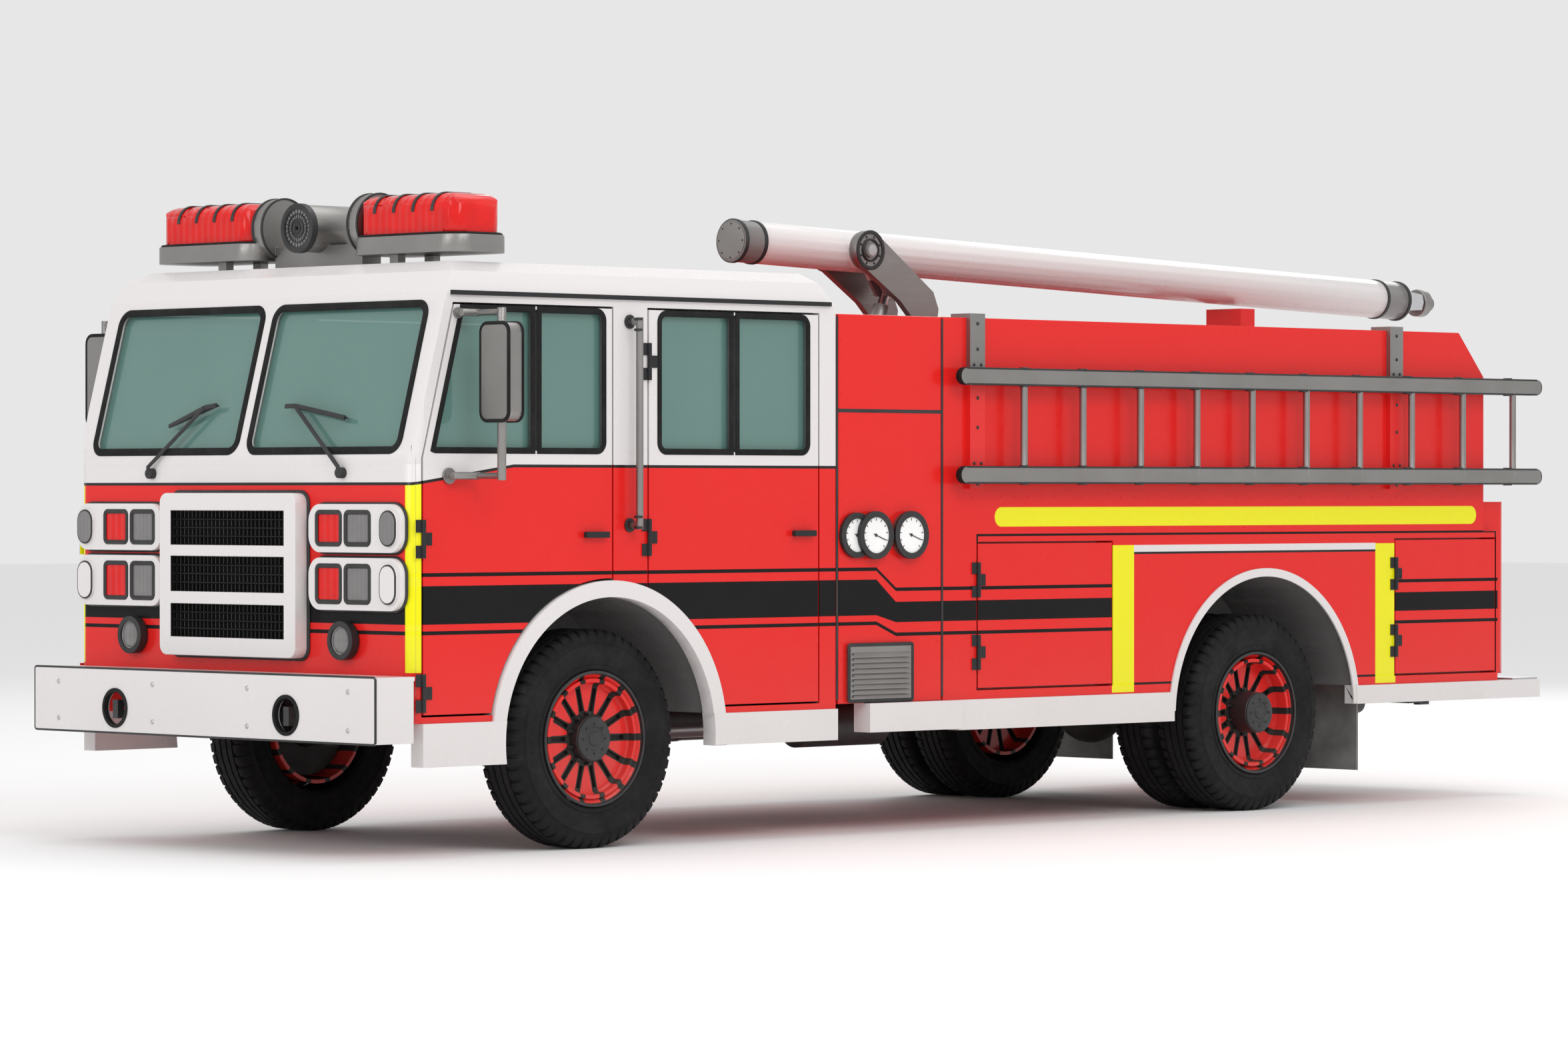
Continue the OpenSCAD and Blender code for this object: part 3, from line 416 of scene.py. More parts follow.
def wheel_paint(name, middle, slots=14):
    """Red disc and rim with a black hub and black slot edges."""
    t = Tree(name)
    dx, dz = t.sub(t.x, middle), t.sub(t.z, AXLE_Z)
    far = t.math("SQRT", t.add(t.mul(dx, dx), t.mul(dz, dz)))
    turn = t.math("ARCTAN2", dz, dx)
    wave = t.mag(t.math("SINE", t.mul(turn, slots / 2)))
    spoke = t.both(t.less(t.mul(wave, far), 0.118), t.within(far, 0.124, RIM_R - 0.010))
    dark = t.either(t.less(far, 0.128), t.more(far, RIM_R - 0.014), spoke)
    return paint_finish(t, t.mix(dark, RED, BLACK), 0.10, dark).mat


def ladder_metal():
    """Grey metal, with the brackets on the wall below the upper rail in body red."""
    t = Tree("ladder_metal")
    wall = t.both(t.less(t.mag(t.y), HALF_W + 0.031), t.less(t.z, 2.30))
    cloud = t.noise(3.5, 5.0)
    grey = t.mix(t.ramp(cloud, 0.35, 0.75, 0.0, 0.5), (0.30, 0.29, 0.28), (0.22, 0.21, 0.20))
    t.set(Base_Color=t.mix(wall, grey, RED), Metallic=t.ramp(wall, 0, 1, 0.9, 0.0))
    t.set(Roughness=t.ramp(t.noise(60.0, 4.0, (0.06, 2, 2)), 0.3, 0.7, 0.33, 0.50))
    return t.bump(t.noise(140.0, 2.0), 0.05, 0.0006).mat


def metal(name, colour, rough, scratch=(60, 2, 2), bump=0.08):
    """Satin or brushed metal with fine streaks along X and cloudy wear."""
    t = Tree(name)
    streak = t.noise(scratch[0], 4.0, (0.06, scratch[1], scratch[2]))
    cloud = t.noise(3.5, 5.0)
    t.set(Base_Color=t.mix(t.ramp(cloud, 0.35, 0.75, 0.0, 0.5), colour, tuple(c * 0.72 for c in colour)))
    t.set(Metallic=0.9, Roughness=t.ramp(streak, 0.3, 0.7, rough - 0.07, rough + 0.1))
    return t.bump(streak, bump, 0.0005).mat


def coated(name, colour, rough, grain=220.0, bump=0.12):
    """Painted or moulded surface with a fine grain and a little dust."""
    t = Tree(name)
    cloud = t.noise(4.0, 5.0)
    light = tuple(min(1.0, c * 1.5 + 0.02) for c in colour)
    t.set(Base_Color=t.mix(t.ramp(cloud, 0.4, 0.8, 0.0, 0.55), colour, light))
    t.rough(20.0, 3.0, rough - 0.06, rough + 0.1)
    return t.bump(t.noise(grain, 3.0), bump, 0.0006).mat


def rubber(name, colour):
    t = Tree(name)
    dust = t.ramp(t.noise(6.0, 6.0), 0.42, 0.8, 0.0, 0.4)
    t.set(Base_Color=t.mix(dust, colour, tuple(c * 2.6 + 0.012 for c in colour)))
    t.rough(30.0, 3.0, 0.62, 0.82).set(Specular_IOR_Level=0.2)
    return t.bump(t.noise(260.0, 4.0), 0.2, 0.0008).mat


def chrome():
    t = Tree("chrome")
    t.set(Base_Color=t.mix(t.noise(5.0, 4.0), (0.78, 0.78, 0.8), (0.66, 0.66, 0.69)))
    t.set(Metallic=1.0, Roughness=t.ramp(t.noise(12.0, 5.0), 0.3, 0.75, 0.09, 0.18))
    return t.bump(t.noise(90.0, 2.0), 0.02, 0.0004).mat


def tread_plate():
    """Aluminium with raised crossed bars."""
    t = Tree("tread_plate")
    waves = []
    for turn in (1, -1):
        u = t.add(t.mul(t.x, 95.0), t.mul(t.y, 95.0 * turn))
        v = t.sub(t.mul(t.x, 47.0), t.mul(t.y, 47.0 * turn))
        across = t.math("POWER", t.mag(t.math("SINE", v)), 6.0)
        waves.append(t.mul(across, t.more(t.math("SINE", u), 0.2)))
    t.set(Base_Color=t.mix(t.noise(7.0, 5.0), (0.62, 0.62, 0.64), (0.42, 0.42, 0.43)))
    t.rough(25.0, 3.0, 0.28, 0.48).set(Metallic=0.9)
    return t.bump(t.either(*waves), 0.7, 0.002).mat


def window_glass():
    """Teal-grey tinted glass that lets the cab show dimly."""
    t = Tree("window_glass")
    t.set(Base_Color=t.mix(t.noise(1.5, 2.0), (0.12, 0.245, 0.215), (0.15, 0.285, 0.25)))
    t.set(Roughness=t.ramp(t.noise(5.0, 4.0), 0.4, 0.8, 0.03, 0.07), Alpha=0.74)
    t.set(Coat_Weight=0.6, Coat_Roughness=0.02)
    return t.bump(t.noise(1.6, 1.0), 0.03, 0.002).mat


def lens(name, colour, ribs, coat):
    """Moulded lamp lens with fine upright prisms."""
    t = Tree(name)
    wave = t.math("SINE", t.mul(t.y, ribs))
    t.set(Base_Color=t.mix(t.noise(14.0, 3.0), colour, tuple(c * 0.7 for c in colour)))
    t.rough(30.0, 3.0, 0.08, 0.16)
    t.set(Coat_Weight=coat, Coat_Roughness=0.04, Specular_IOR_Level=0.3)
    return t.bump(wave, 0.35, 0.003).mat


def cloth(name, colour):
    """Woven seat cloth."""
    t = Tree(name)
    warp = t.math("SINE", t.mul(t.x, 1400.0))
    weft = t.math("SINE", t.mul(t.y, 1400.0))
    weave = t.mul(warp, weft)
    t.set(Base_Color=t.mix(t.noise(35.0, 4.0), colour, tuple(c * 1.8 for c in colour)))
    t.rough(60.0, 3.0, 0.82, 0.95).set(Sheen_Weight=0.3)
    return t.bump(weave, 0.3, 0.0008).mat


MAT = {
    "livery": livery(),
    "white": white_paint(),
    "grille": grille_paint(),
    "boom": boom_paint(),
    "front_wheel": wheel_paint("front_wheel_paint", AXLE_X),
    "rear_wheel": wheel_paint("rear_wheel_paint", REAR_X),
    "black": coated("black_metal", (0.018, 0.018, 0.019), 0.42),
    "trim": coated("black_trim", (0.014, 0.014, 0.015), 0.5, 400.0),
    "grey": metal("grey_metal", (0.30, 0.29, 0.28), 0.40),
    "steel": metal("brushed_steel", (0.62, 0.62, 0.64), 0.28),
    "alloy": metal("alloy", (0.52, 0.52, 0.53), 0.34, (90, 3, 3)),
    "chrome": chrome(),
    "tread": tread_plate(),
    "glass": window_glass(),
    "rubber": rubber("rubber_wall", (0.008, 0.008, 0.0085)),
    "flap": rubber("flap_rubber", (0.16, 0.155, 0.15)),
    "ladder": ladder_metal(),
    "red_lens": lens("red_lens", (0.78, 0.008, 0.006), 130.0, 0.12),
    "grey_lens": lens("grey_lens", (0.20, 0.19, 0.19), 210.0, 0.7),
    "enamel": coated("gauge_enamel", (0.86, 0.86, 0.85), 0.25, 300.0, 0.03),
    "dark": coated("dark_plastic", DARK_GREY, 0.6, 500.0),
    "cloth": cloth("seat_cloth", (0.022, 0.023, 0.026)),
    "cast": coated("cast_iron", (0.035, 0.034, 0.033), 0.65, 90.0, 0.35),
}

# The material of each node of the frame, left and right alike, and how far its edges are rounded.
LOOKS = {
    "chassis_frame": ("black", 0.004), "engine_block": ("cast", 0.02), "front_bumper": ("white", 0.012),
    "front_axle": ("cast", 0), "rear_axle": ("cast", 0), "fuel_tank": ("black", 0.006),
    "cab_shell": ("livery", 0.006), "cab_roof": ("livery", 0.008), "windscreen": ("glass", 0),
    "grille": ("grille", 0.008), "headlamps": ("white", 0.004), "dashboard": ("dark", 0.012),
    "seats": ("cloth", 0), "light_bar": ("grey", 0.012), "warning_lights": ("red_lens", 0.02),
    "grab_bars": ("grey", 0), "pump_house": ("livery", 0.006), "pump_panel": ("grey", 0.003),
    "body_shell": ("livery", 0.008), "tailboard": ("tread", 0.004), "rub_rails": ("white", 0.004),
    "mud_flaps": ("flap", 0), "ladders": ("ladder", 0.004), "boom_pedestal": ("grey", 0),
    "turntable": ("grey", 0.006), "boom": ("boom", 0.004), "inner_boom": ("steel", 0),
    "nozzle": ("grey", 0.006), "lift_cylinder": ("grey", 0), "lift_rod": ("chrome", 0),
    "front_door": ("livery", 0.006), "rear_door": ("livery", 0.006), "front_glass": ("glass", 0),
    "rear_glass": ("glass", 0), "mirror": ("grey", 0.01), "front_locker_door": ("livery", 0.006),
    "rear_locker_door": ("livery", 0.006), "knuckle": ("cast", 0), "front_tyre": ("rubber", 0),
    "rear_tyres": ("rubber", 0), "front_wheel": ("front_wheel", 0.003), "rear_wheels": ("rear_wheel", 0.003),
}


def soften(obj, width):
    """Rounds the sharp edges of a CAD node with modifiers only."""
    weld = obj.modifiers.new("weld", "WELD")
    weld.merge_threshold = 0.00002
    flat = obj.modifiers.new("flat", "DECIMATE")
    flat.decimate_type = "DISSOLVE"
    flat.angle_limit = radians(0.4)
    round_edges(obj, width)


def dress():
    for node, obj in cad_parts.items():
        material, width = LOOKS[node.removesuffix("_left").removesuffix("_right")]
        obj.data.materials.clear()
        obj.data.materials.append(MAT[material])
        if width:
            soften(obj, width)


dress()


# ---------- shapes ----------

def unit(v):
    return v.normalized()


def angles(n, start=0.0):
    """n equal steps round a full turn."""
    return [2 * pi * (i + start) / n for i in range(n)]


def at_x(x, outline, m):
    """A flat (y, z) outline placed at x, on the right-hand side where m is -1."""
    return [Vector((x, m * u, v)) for u, v in outline]


def shapes(n):
    return [Shape() for _ in range(n)]


def basis(axis):
    """Two directions square to axis."""
    axis = unit(Vector(axis))
    other = Vector((0, 0, 1)) if abs(axis.z) < 0.9 else Vector((1, 0, 0))
    u = unit(axis.cross(other))
    return u, axis.cross(u)


class Shape:
    """Gathers simple solids into one mesh, in the row frame."""

    def __init__(self):
        self.verts, self.faces = [], []

    def add(self, verts, faces):
        base = len(self.verts)
        self.verts += [tuple(v) for v in verts]
        self.faces += [tuple(i + base for i in f) for f in faces]
        return self

    def box(self, low, high):
        x, y, z = zip(low, high)
        verts = [(x[i], y[j], z[k]) for i in (0, 1) for j in (0, 1) for k in (0, 1)]
        faces = [(0, 1, 3, 2), (4, 6, 7, 5), (0, 4, 5, 1), (2, 3, 7, 6), (0, 2, 6, 4), (1, 5, 7, 3)]
        return self.add(verts, faces)

    def spin(self, centre, axis, profile, seg=40):
        """A closed profile of (radius, distance along axis) turned round the axis."""
        centre, axis = Vector(centre), unit(Vector(axis))
        u, w = basis(axis)
        verts, faces, n = [], [], len(profile)
        for a in angles(seg):
            out = u * cos(a) + w * sin(a)
            verts += [centre + out * max(r, 0.0001) + axis * h for r, h in profile]
        for i in range(seg):
            j = (i + 1) % seg
            for k in range(n):
                m = (k + 1) % n
                faces.append((i * n + k, i * n + m, j * n + m, j * n + k))
        return self.add(verts, faces)

    def rod(self, a, b, r, seg=20, edge=0.0):
        """A round bar with its ends chamfered by edge."""
        a, b = Vector(a), Vector(b)
        h = (b - a).length
        profile = [(0, 0), (r - edge, 0), (r, edge), (r, h - edge), (r - edge, h), (0, h)]
        return self.spin(a, b - a, profile, seg)

    def ring(self, a, b, r_in, r_out, seg=40):
        a, b = Vector(a), Vector(b)
        h, t = (b - a).length, min(0.002, (r_out - r_in) / 4)
        profile = [(r_in, 0), (r_out - t, 0), (r_out, t), (r_out, h - t), (r_out - t, h), (r_in, h)]
        return self.spin(a, b - a, profile, seg)

    def collar(self, spot, way, back, ahead, r_in, r_out, seg=40):
        """A ring about spot, from back behind it to ahead of it."""
        spot, way = Vector(spot), Vector(way)
        return self.ring(spot - way * back, spot + way * ahead, r_in, r_out, seg)

    def dome(self, centre, axis, r, height, seg=28):
        steps = 7
        profile = [(0, 0)]
        for i in range(steps + 1):
            a = pi / 2 * i / steps
            profile.append((r * cos(a), height * sin(a)))
        return self.spin(centre, axis, profile, seg)

    def sweep(self, points, across, half_w, half_t, closed=False, seg=12):
        """An oval bead along points. Across is the direction in which it is half_t thick."""
        pts = [Vector(p) for p in points]
        across = unit(Vector(across))
        verts, faces, n = [], [], len(pts)
        for i, p in enumerate(pts):
            before = pts[i - 1] if closed or i else p
            after = pts[(i + 1) % n] if closed or i < n - 1 else p
            into, out = p - before, after - p
            if into.length < 1e-7:
                into = out
            if out.length < 1e-7:
                out = into
            along = unit(unit(into) + unit(out))
            side = unit(along.cross(across))
            miter = 1.0 / max(0.5, along.dot(unit(out)))
            for a in angles(seg):
                verts.append(p + side * half_w * miter * cos(a) + across * half_t * sin(a))
        for i in range(n if closed else n - 1):
            j = (i + 1) % n
            for k in range(seg):
                m = (k + 1) % seg
                faces.append((i * seg + k, i * seg + m, j * seg + m, j * seg + k))
        if not closed:
            faces.append(tuple(range(seg)))
            faces.append(tuple((n - 1) * seg + k for k in reversed(range(seg))))
        return self.add(verts, faces)

    def hem(self, x, outline, m, half_w, half_t, seg=12):
        """A bead all round a (y, z) outline that faces along X."""
        return self.sweep(at_x(x, outline, m), (1, 0, 0), half_w, half_t, closed=True, seg=seg)

    def slab(self, outline, m, low, high):
        """A (y, z) outline thickened along X from low to high."""
        n = len(outline)
        verts = at_x(low, outline, m) + at_x(high, outline, m)
        faces = [(i, (i + 1) % n, (i + 1) % n + n, i + n) for i in range(n)]
        faces += [tuple(reversed(range(n))), tuple(range(n, 2 * n))]
        return self.add(verts, faces)

    def piece(self, name, material, body=BODY, width=0.0, smooth=40):
        mesh = bpy.data.meshes.new(name)
        mesh.from_pydata(self.verts, [], self.faces)
        bm = bmesh.new()
        bm.from_mesh(mesh)
        bmesh.ops.recalc_face_normals(bm, faces=bm.faces)
        bm.to_mesh(mesh)
        bm.free()
        mesh.materials.append(MAT[material] if isinstance(material, str) else material)
        obj = new_object(name, mesh)
        for polygon in mesh.polygons:
            polygon.use_smooth = True
        mesh.set_sharp_from_angle(angle=radians(smooth))
        if width:
            round_edges(obj, width)
        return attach(obj, body)


def rounded(low, high, r, steps=6):
    """Points round a rectangle with rounded corners."""
    out = []
    for cx, cy, start in (
        (high[0] - r, high[1] - r, 0), (low[0] + r, high[1] - r, 90),
        (low[0] + r, low[1] + r, 180), (high[0] - r, low[1] + r, 270),
    ):
        for i in range(steps + 1):
            a = radians(start + 90 * i / steps)
            out.append((cx + r * cos(a), cy + r * sin(a)))
    return out


def outlines(node, direction):
    """The closed edge loops of a CAD node's flat faces that look along direction."""
    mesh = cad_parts[node].data
    direction = unit(Vector(direction))
    count, key_place = {}, {}

    def key(index):
        co = mesh.vertices[index].co
        name = tuple(round(c, 5) for c in co)
        key_place[name] = co.copy()
        return name

    for polygon in mesh.polygons:
        if polygon.normal.dot(direction) < 0.995:
            continue
        ids = [key(i) for i in polygon.vertices]
        for a, b in zip(ids, ids[1:] + ids[:1]):
            if (b, a) in count:
                del count[(b, a)]
            else:
                count[(a, b)] = True
    follow = {a: b for a, b in count}
    loops = []
    while follow:
        start, step = next(iter(follow.items()))
        del follow[start]
        loop = [start]
        while step != start and step in follow:
            loop.append(step)
            step = follow.pop(step)
        if len(loop) > 3:
            loops.append([key_place[k] for k in loop])
    return loops


def thin_out(loop, least=0.004):
    """Drops points that lie very close together."""
    kept = [loop[0]]
    for p in loop[1:]:
        if (p - kept[-1]).length > least:
            kept.append(p)
    if (kept[0] - kept[-1]).length <= least:
        kept.pop()
    return kept


# ---------- window seals ----------

def window_seals():
    for side, m in SIDES:
        for which in ("front", "rear"):
            node = f"{which}_glass_{side}"
            seal = Shape()
            for loop in outlines(node, (0, m, 0)):
                flat = [Vector((p.x, m * (HALF_W + 0.001), p.z)) for p in thin_out(loop)]
                seal.sweep(flat, (0, m, 0), 0.015, 0.005, closed=True)
            seal.piece(f"{which}_window_seal_{side}", "rubber", f"{which}_door_{side}")
    slope = Vector((WIND_DZ, 0, WIND_DX))
    seal = Shape()
    for loop in outlines("windscreen", slope):
        seal.sweep([p + Vector((0.026, 0, 0)) for p in thin_out(loop)], slope, 0.019, 0.006, closed=True)
    seal.piece("windscreen_seal", "rubber")


window_seals()


# ---------- wipers ----------

def screen_x(z):
    """Where the outer face of the windscreen wall lies at a height."""
    return CAB_FRONT - WIND_DX * max(0.0, z - SILL_Z) / WIND_DZ


def wiper(name, base, tip, blade_a, blade_b):
    def on(y, z, lift):
        return Vector((screen_x(z) + lift, y, z))

    arm = Shape()
    arm.rod(on(*base, -0.01), on(*base, 0.035), 0.026, 20, 0.004)
    bent = [on(*base, 0.032), on(base[0], base[1] + 0.03, 0.034), on(*tip, 0.022)]
    arm.sweep(bent, (1, 0, 0.27), 0.011, 0.007)
    arm.sweep([on(*blade_a, 0.014), on(*tip, 0.020), on(*blade_b, 0.014)], (1, 0, 0.27), 0.012, 0.006)
    arm.sweep([on(*blade_a, 0.004), on(*blade_b, 0.004)], (1, 0, 0.27), 0.004, 0.011)
    arm.piece(name, "trim")


wiper("wiper_left", (0.77, 1.81), (0.36, 2.13), (0.28, 2.13), (0.74, 2.07))
wiper("wiper_right", (-0.67, 1.81), (-0.33, 2.13), (-0.58, 2.04), (-0.25, 2.14))


# ---------- front lamps, grille edge ----------

LAMP_ROWS = ((1.435, 1.663), (1.163, 1.410))
LAMP_IN, LAMP_OUT = 0.560, HALF_W - 0.040


def front_lamps():
    bezels, red, clear, markers, blanks = shapes(5)
    for _, m in SIDES:
        for row, (low, high) in enumerate(LAMP_ROWS):
            for k, y in enumerate((LAMP_IN + 0.06, LAMP_IN + 0.27)):
                shape = rounded((y, low + 0.038), (y + 0.175, high - 0.038), 0.02)
                bezels.hem(CAB_FRONT + 0.038, shape, m, 0.011, 0.006)
                inner = rounded((y + 0.006, low + 0.044), (y + 0.169, high - 0.044), 0.016)
                target = red if (k == 0) == (m > 0) else clear
                target.slab(inner, m, CAB_FRONT + 0.020, CAB_FRONT + 0.035)
            edge = rounded((LAMP_IN, low), (LAMP_OUT, high), 0.08)
            bezels.hem(CAB_FRONT + 0.004, edge, m, 0.010, 0.008)
            mark = rounded((LAMP_OUT - 0.133, low + 0.036), (LAMP_OUT - 0.027, high - 0.036), 0.05)
            target = (markers, blanks)[row]
            target.slab(mark, m, CAB_FRONT + 0.049, CAB_FRONT + 0.055)
            bezels.hem(CAB_FRONT + 0.050, mark, m, 0.007, 0.005)
        spot = Vector((CAB_FRONT + 0.040, m * 0.8, 1.020))
        bezels.collar(spot, (1, 0, 0), 0.036, 0.010, 0.066, 0.092)
        clear.dome(spot - Vector((0.004, 0, 0)), (1, 0, 0), 0.068, 0.012)
    bezels.piece("lamp_bezels", "trim")
    red.piece("front_red_lamps", "red_lens", width=0.003)
    clear.piece("front_clear_lamps", "grey_lens", width=0.003)
    markers.piece("corner_marker_lamps", "grey_lens", width=0.002)
    blanks.piece("corner_blanks", "white", width=0.002)


def grille_edge():
    low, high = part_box("grille")
    edge = rounded((low.y, low.z), (high.y, high.z), 0.05)
    seal = Shape().hem(low.x + 0.004, edge, 1, 0.014, 0.008)
    seal.piece("grille_seal", "trim")
    screen = Shape()
    for z_low, z_high in GRILLE_ROWS:
        for i in range(29):
            y = -0.42 + 0.84 * i / 28
            screen.box((high.x - 0.062, y - 0.002, z_low), (high.x - 0.032, y + 0.002, z_high))
    screen.piece("grille_fins", "trim")


front_lamps()
grille_edge()


# ---------- bumper ----------

def bumper_parts():
    low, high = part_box("front_bumper")
    rings, bolts = shapes(2)
    for _, m in SIDES:
        spot = Vector((high.x, m * TOW_Y, TOW_Z))
        rings.collar(spot, (1, 0, 0), 0.020, 0.007, 0.080, 0.097, 48)
        for y in (0.36, 1.10):
            for z in (0.61, 0.79):
                bolts.dome((high.x - 0.001, m * y, z), (1, 0, 0), 0.013, 0.007, 12)
    rings.piece("tow_opening_rings", "rubber")
    bolts.piece("bumper_bolts", "alloy")
    edge = rounded((low.y + 0.002, low.z), (high.y - 0.002, high.z), 0.012, 3)
    bead = Shape().hem(high.x - 0.004, edge, 1, 0.006, 0.006, 8)
    bead.piece("bumper_edge_trim", "trim")


bumper_parts()


# ---------- light bar ----------

def light_bar_parts():
    low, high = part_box("warning_lights")
    mid_x = (low.x + high.x) / 2
    half = (high.x - low.x) / 2
    ribs, base = shapes(2)
    for _, m in SIDES:
        for y in (0.54, 0.68, 0.82, 0.96):
            arch = rounded((-half - 0.003, -0.10), (half + 0.003, 0.203), 0.09)
            pts = [(mid_x + u, low.z + v) for u, v in arch]
            pts = [Vector((u, m * y, v)) for u, v in pts if v >= low.z]
            ribs.sweep(pts, (0, 1, 0), 0.004, 0.011, seg=8)
        foot = rounded((low.x - 0.012, 0.385), (high.x + 0.012, 1.135), 0.10)
        foot = [Vector((u, m * v, low.z + 0.002)) for u, v in foot]
        base.sweep(foot, (0, 0, 1), 0.012, 0.010, closed=True)
    ribs.piece("dome_ribs", "trim")
    base.piece("dome_gaskets", "rubber")
    speaker, mesh = shapes(2)
    front = Vector((mid_x + 0.190, 0, ROOF_Z + 0.190))
    speaker.collar(front, (1, 0, 0), 0.03, 0.008, 0.096, 0.121)
    for r in (0.02, 0.045, 0.07, 0.095):
        mesh.collar(front, (1, 0, 0), 0, 0.006, r - 0.004, r + 0.003)
    for i in range(12):
        a = pi * i / 12
        d = Vector((0, cos(a), sin(a))) * 0.098
        mesh.sweep([front + d, front - d], (1, 0, 0), 0.003, 0.003, seg=6)
    for _, m in SIDES:
        for y in (0.325, 0.395):
            spot = (mid_x, m * y, ROOF_Z + 0.200)
            speaker.collar(spot, (0, m, 0), 0.006, 0.006, 0.146, 0.155)
    speaker.piece("siren_rings", "trim")
    mesh.piece("siren_grille", "black")


light_bar_parts()


# ---------- tyres ----------

LUG_DEPTH = 0.012


def tyre_shape(shape, centre, half_w, r):
    """A ribbed road tyre with shoulder lugs, turned about Y."""
    rim = RIM_R + 0.001
    outer = [
        (rim, half_w - 0.027, 0), (rim + 0.004, half_w - 0.016, 0), (rim + 0.016, half_w - 0.008, 0),
        (rim + 0.030, half_w - 0.006, 0), (rim + 0.034, half_w - 0.010, 0), (rim + 0.060, half_w - 0.004, 0),
        (rim + 0.085, half_w, 0), (rim + 0.120, half_w - 0.001, 0), (rim + 0.124, half_w + 0.002, 0),
        (rim + 0.130, half_w + 0.002, 0), (rim + 0.134, half_w - 0.002, 0), (r - 0.066, half_w - 0.005, 0),
        (r - 0.040, half_w - 0.010, 1), (r - 0.020, half_w - 0.018, 1), (r - 0.006, half_w - 0.030, 1),
        (r, half_w - 0.044, 1), (r, 0.074, 1), (r - 0.013, 0.072, 0), (r - 0.013, 0.064, 0), (r, 0.062, 0),
        (r, 0.030, 0), (r - 0.013, 0.028, 0), (r - 0.013, 0.020, 0), (r, 0.018, 0),
    ]
    profile = outer + [(a, -b, c) for a, b, c in reversed(outer)]
    lugs, n = 54, len(profile)
    turns = [(0.0, 0), (0.66, 0), (0.72, 1), (0.94, 1)]
    verts, faces = [], []
    for i in range(lugs):
        for part, cut in turns:
            a = 2 * pi * (i + part) / lugs
            for radius, y, lug in profile:
                rr = radius - LUG_DEPTH * cut * lug
                verts.append((centre[0] + rr * cos(a), centre[1] + y, centre[2] + rr * sin(a)))
    rings = lugs * len(turns)
    for i in range(rings):
        j = (i + 1) % rings
        for k in range(n):
            m = (k + 1) % n
            faces.append((i * n + k, i * n + m, j * n + m, j * n + k))
    shape.add(verts, faces)


def tyres():
    for side, _ in SIDES:
        low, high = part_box(f"front_tyre_{side}")
        half = (high.y - low.y) / 2
        one = Shape()
        tyre_shape(one, (AXLE_X, (low.y + high.y) / 2, AXLE_Z), half, TYRE_R)
        tyre = one.piece(f"front_road_tyre_{side}", "rubber", f"front_wheel_{side}")
        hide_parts(f"front_tyre_{side}")
        low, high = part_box(f"rear_tyres_{side}")
        pair = Shape()
        for y in (low.y + half, high.y - half):
            tyre_shape(pair, (REAR_X, y, AXLE_Z), half, TYRE_R)
        tyre = pair.piece(f"rear_road_tyres_{side}", "rubber", f"rear_wheels_{side}")
        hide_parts(f"rear_tyres_{side}")


def wheel_parts():
    """Brake drums behind the slots, black hub caps, wheel nuts, rim lips."""
    for side, m in SIDES:
        for which, x, hub_y, disc_y, face, body in (
            ("front", AXLE_X, 1.155, 1.090, 1.160, f"front_wheel_{side}"),
            ("rear", REAR_X, 1.230, 1.095, 1.205, f"rear_wheels_{side}"),
        ):
            hub, nuts, drum, lip, dish = shapes(5)

            def on(y, r=0.0, a=0.0):
                return Vector((x + r * cos(a), m * y, AXLE_Z + r * sin(a)))

            hub.ring(on(disc_y + 0.008), on(hub_y - 0.004), 0.100, 0.109, 48)
            hub.spin(on(hub_y - 0.002), (0, m, 0), [
                (0, 0), (0.104, 0), (0.104, 0.004), (0.084, 0.008), (0.060, 0.008), (0.056, 0.004),
                (0.036, 0.004), (0.032, 0.009), (0, 0.010),
            ], 48)
            drum.ring(on(disc_y - 0.075), on(disc_y - 0.016), 0.108, 0.252, 64)
            lip.ring(on(face - 0.010), on(face + 0.006), RIM_R - 0.010, RIM_R + 0.004, 72)
            dish.spin(on(0.0), (0, m, 0), [
                (0.257, disc_y + 0.003), (0.262, disc_y + 0.009),
                (RIM_R - 0.006, face - 0.002), (RIM_R - 0.002, face - 0.006),
            ], 96)
            dish.piece(f"{which}_rim_dish_{side}", f"{which}_wheel", body, smooth=30)
            for a in angles(10, 0.5):
                foot = on(disc_y + 0.008, 0.122, a)
                nuts.rod(foot, foot + Vector((0, m * 0.016, 0)), 0.011, 6, 0.002)
                nuts.rod(foot, foot + Vector((0, m * 0.028, 0)), 0.006, 10, 0.001)
            for a in angles(8):
                foot = on(hub_y + 0.006, 0.072, a)
                nuts.rod(foot, foot + Vector((0, m * 0.005, 0)), 0.006, 6, 0.001)
            hub.piece(f"{which}_hub_cap_{side}", "black", body, smooth=30)
            drum.piece(f"{which}_brake_drum_{side}", "cast", body)
            lip.piece(f"{which}_rim_lip_{side}", "black", body)
            nuts.piece(f"{which}_wheel_nuts_{side}", "black", body)


tyres()
wheel_parts()


# ---------- pump panels ----------

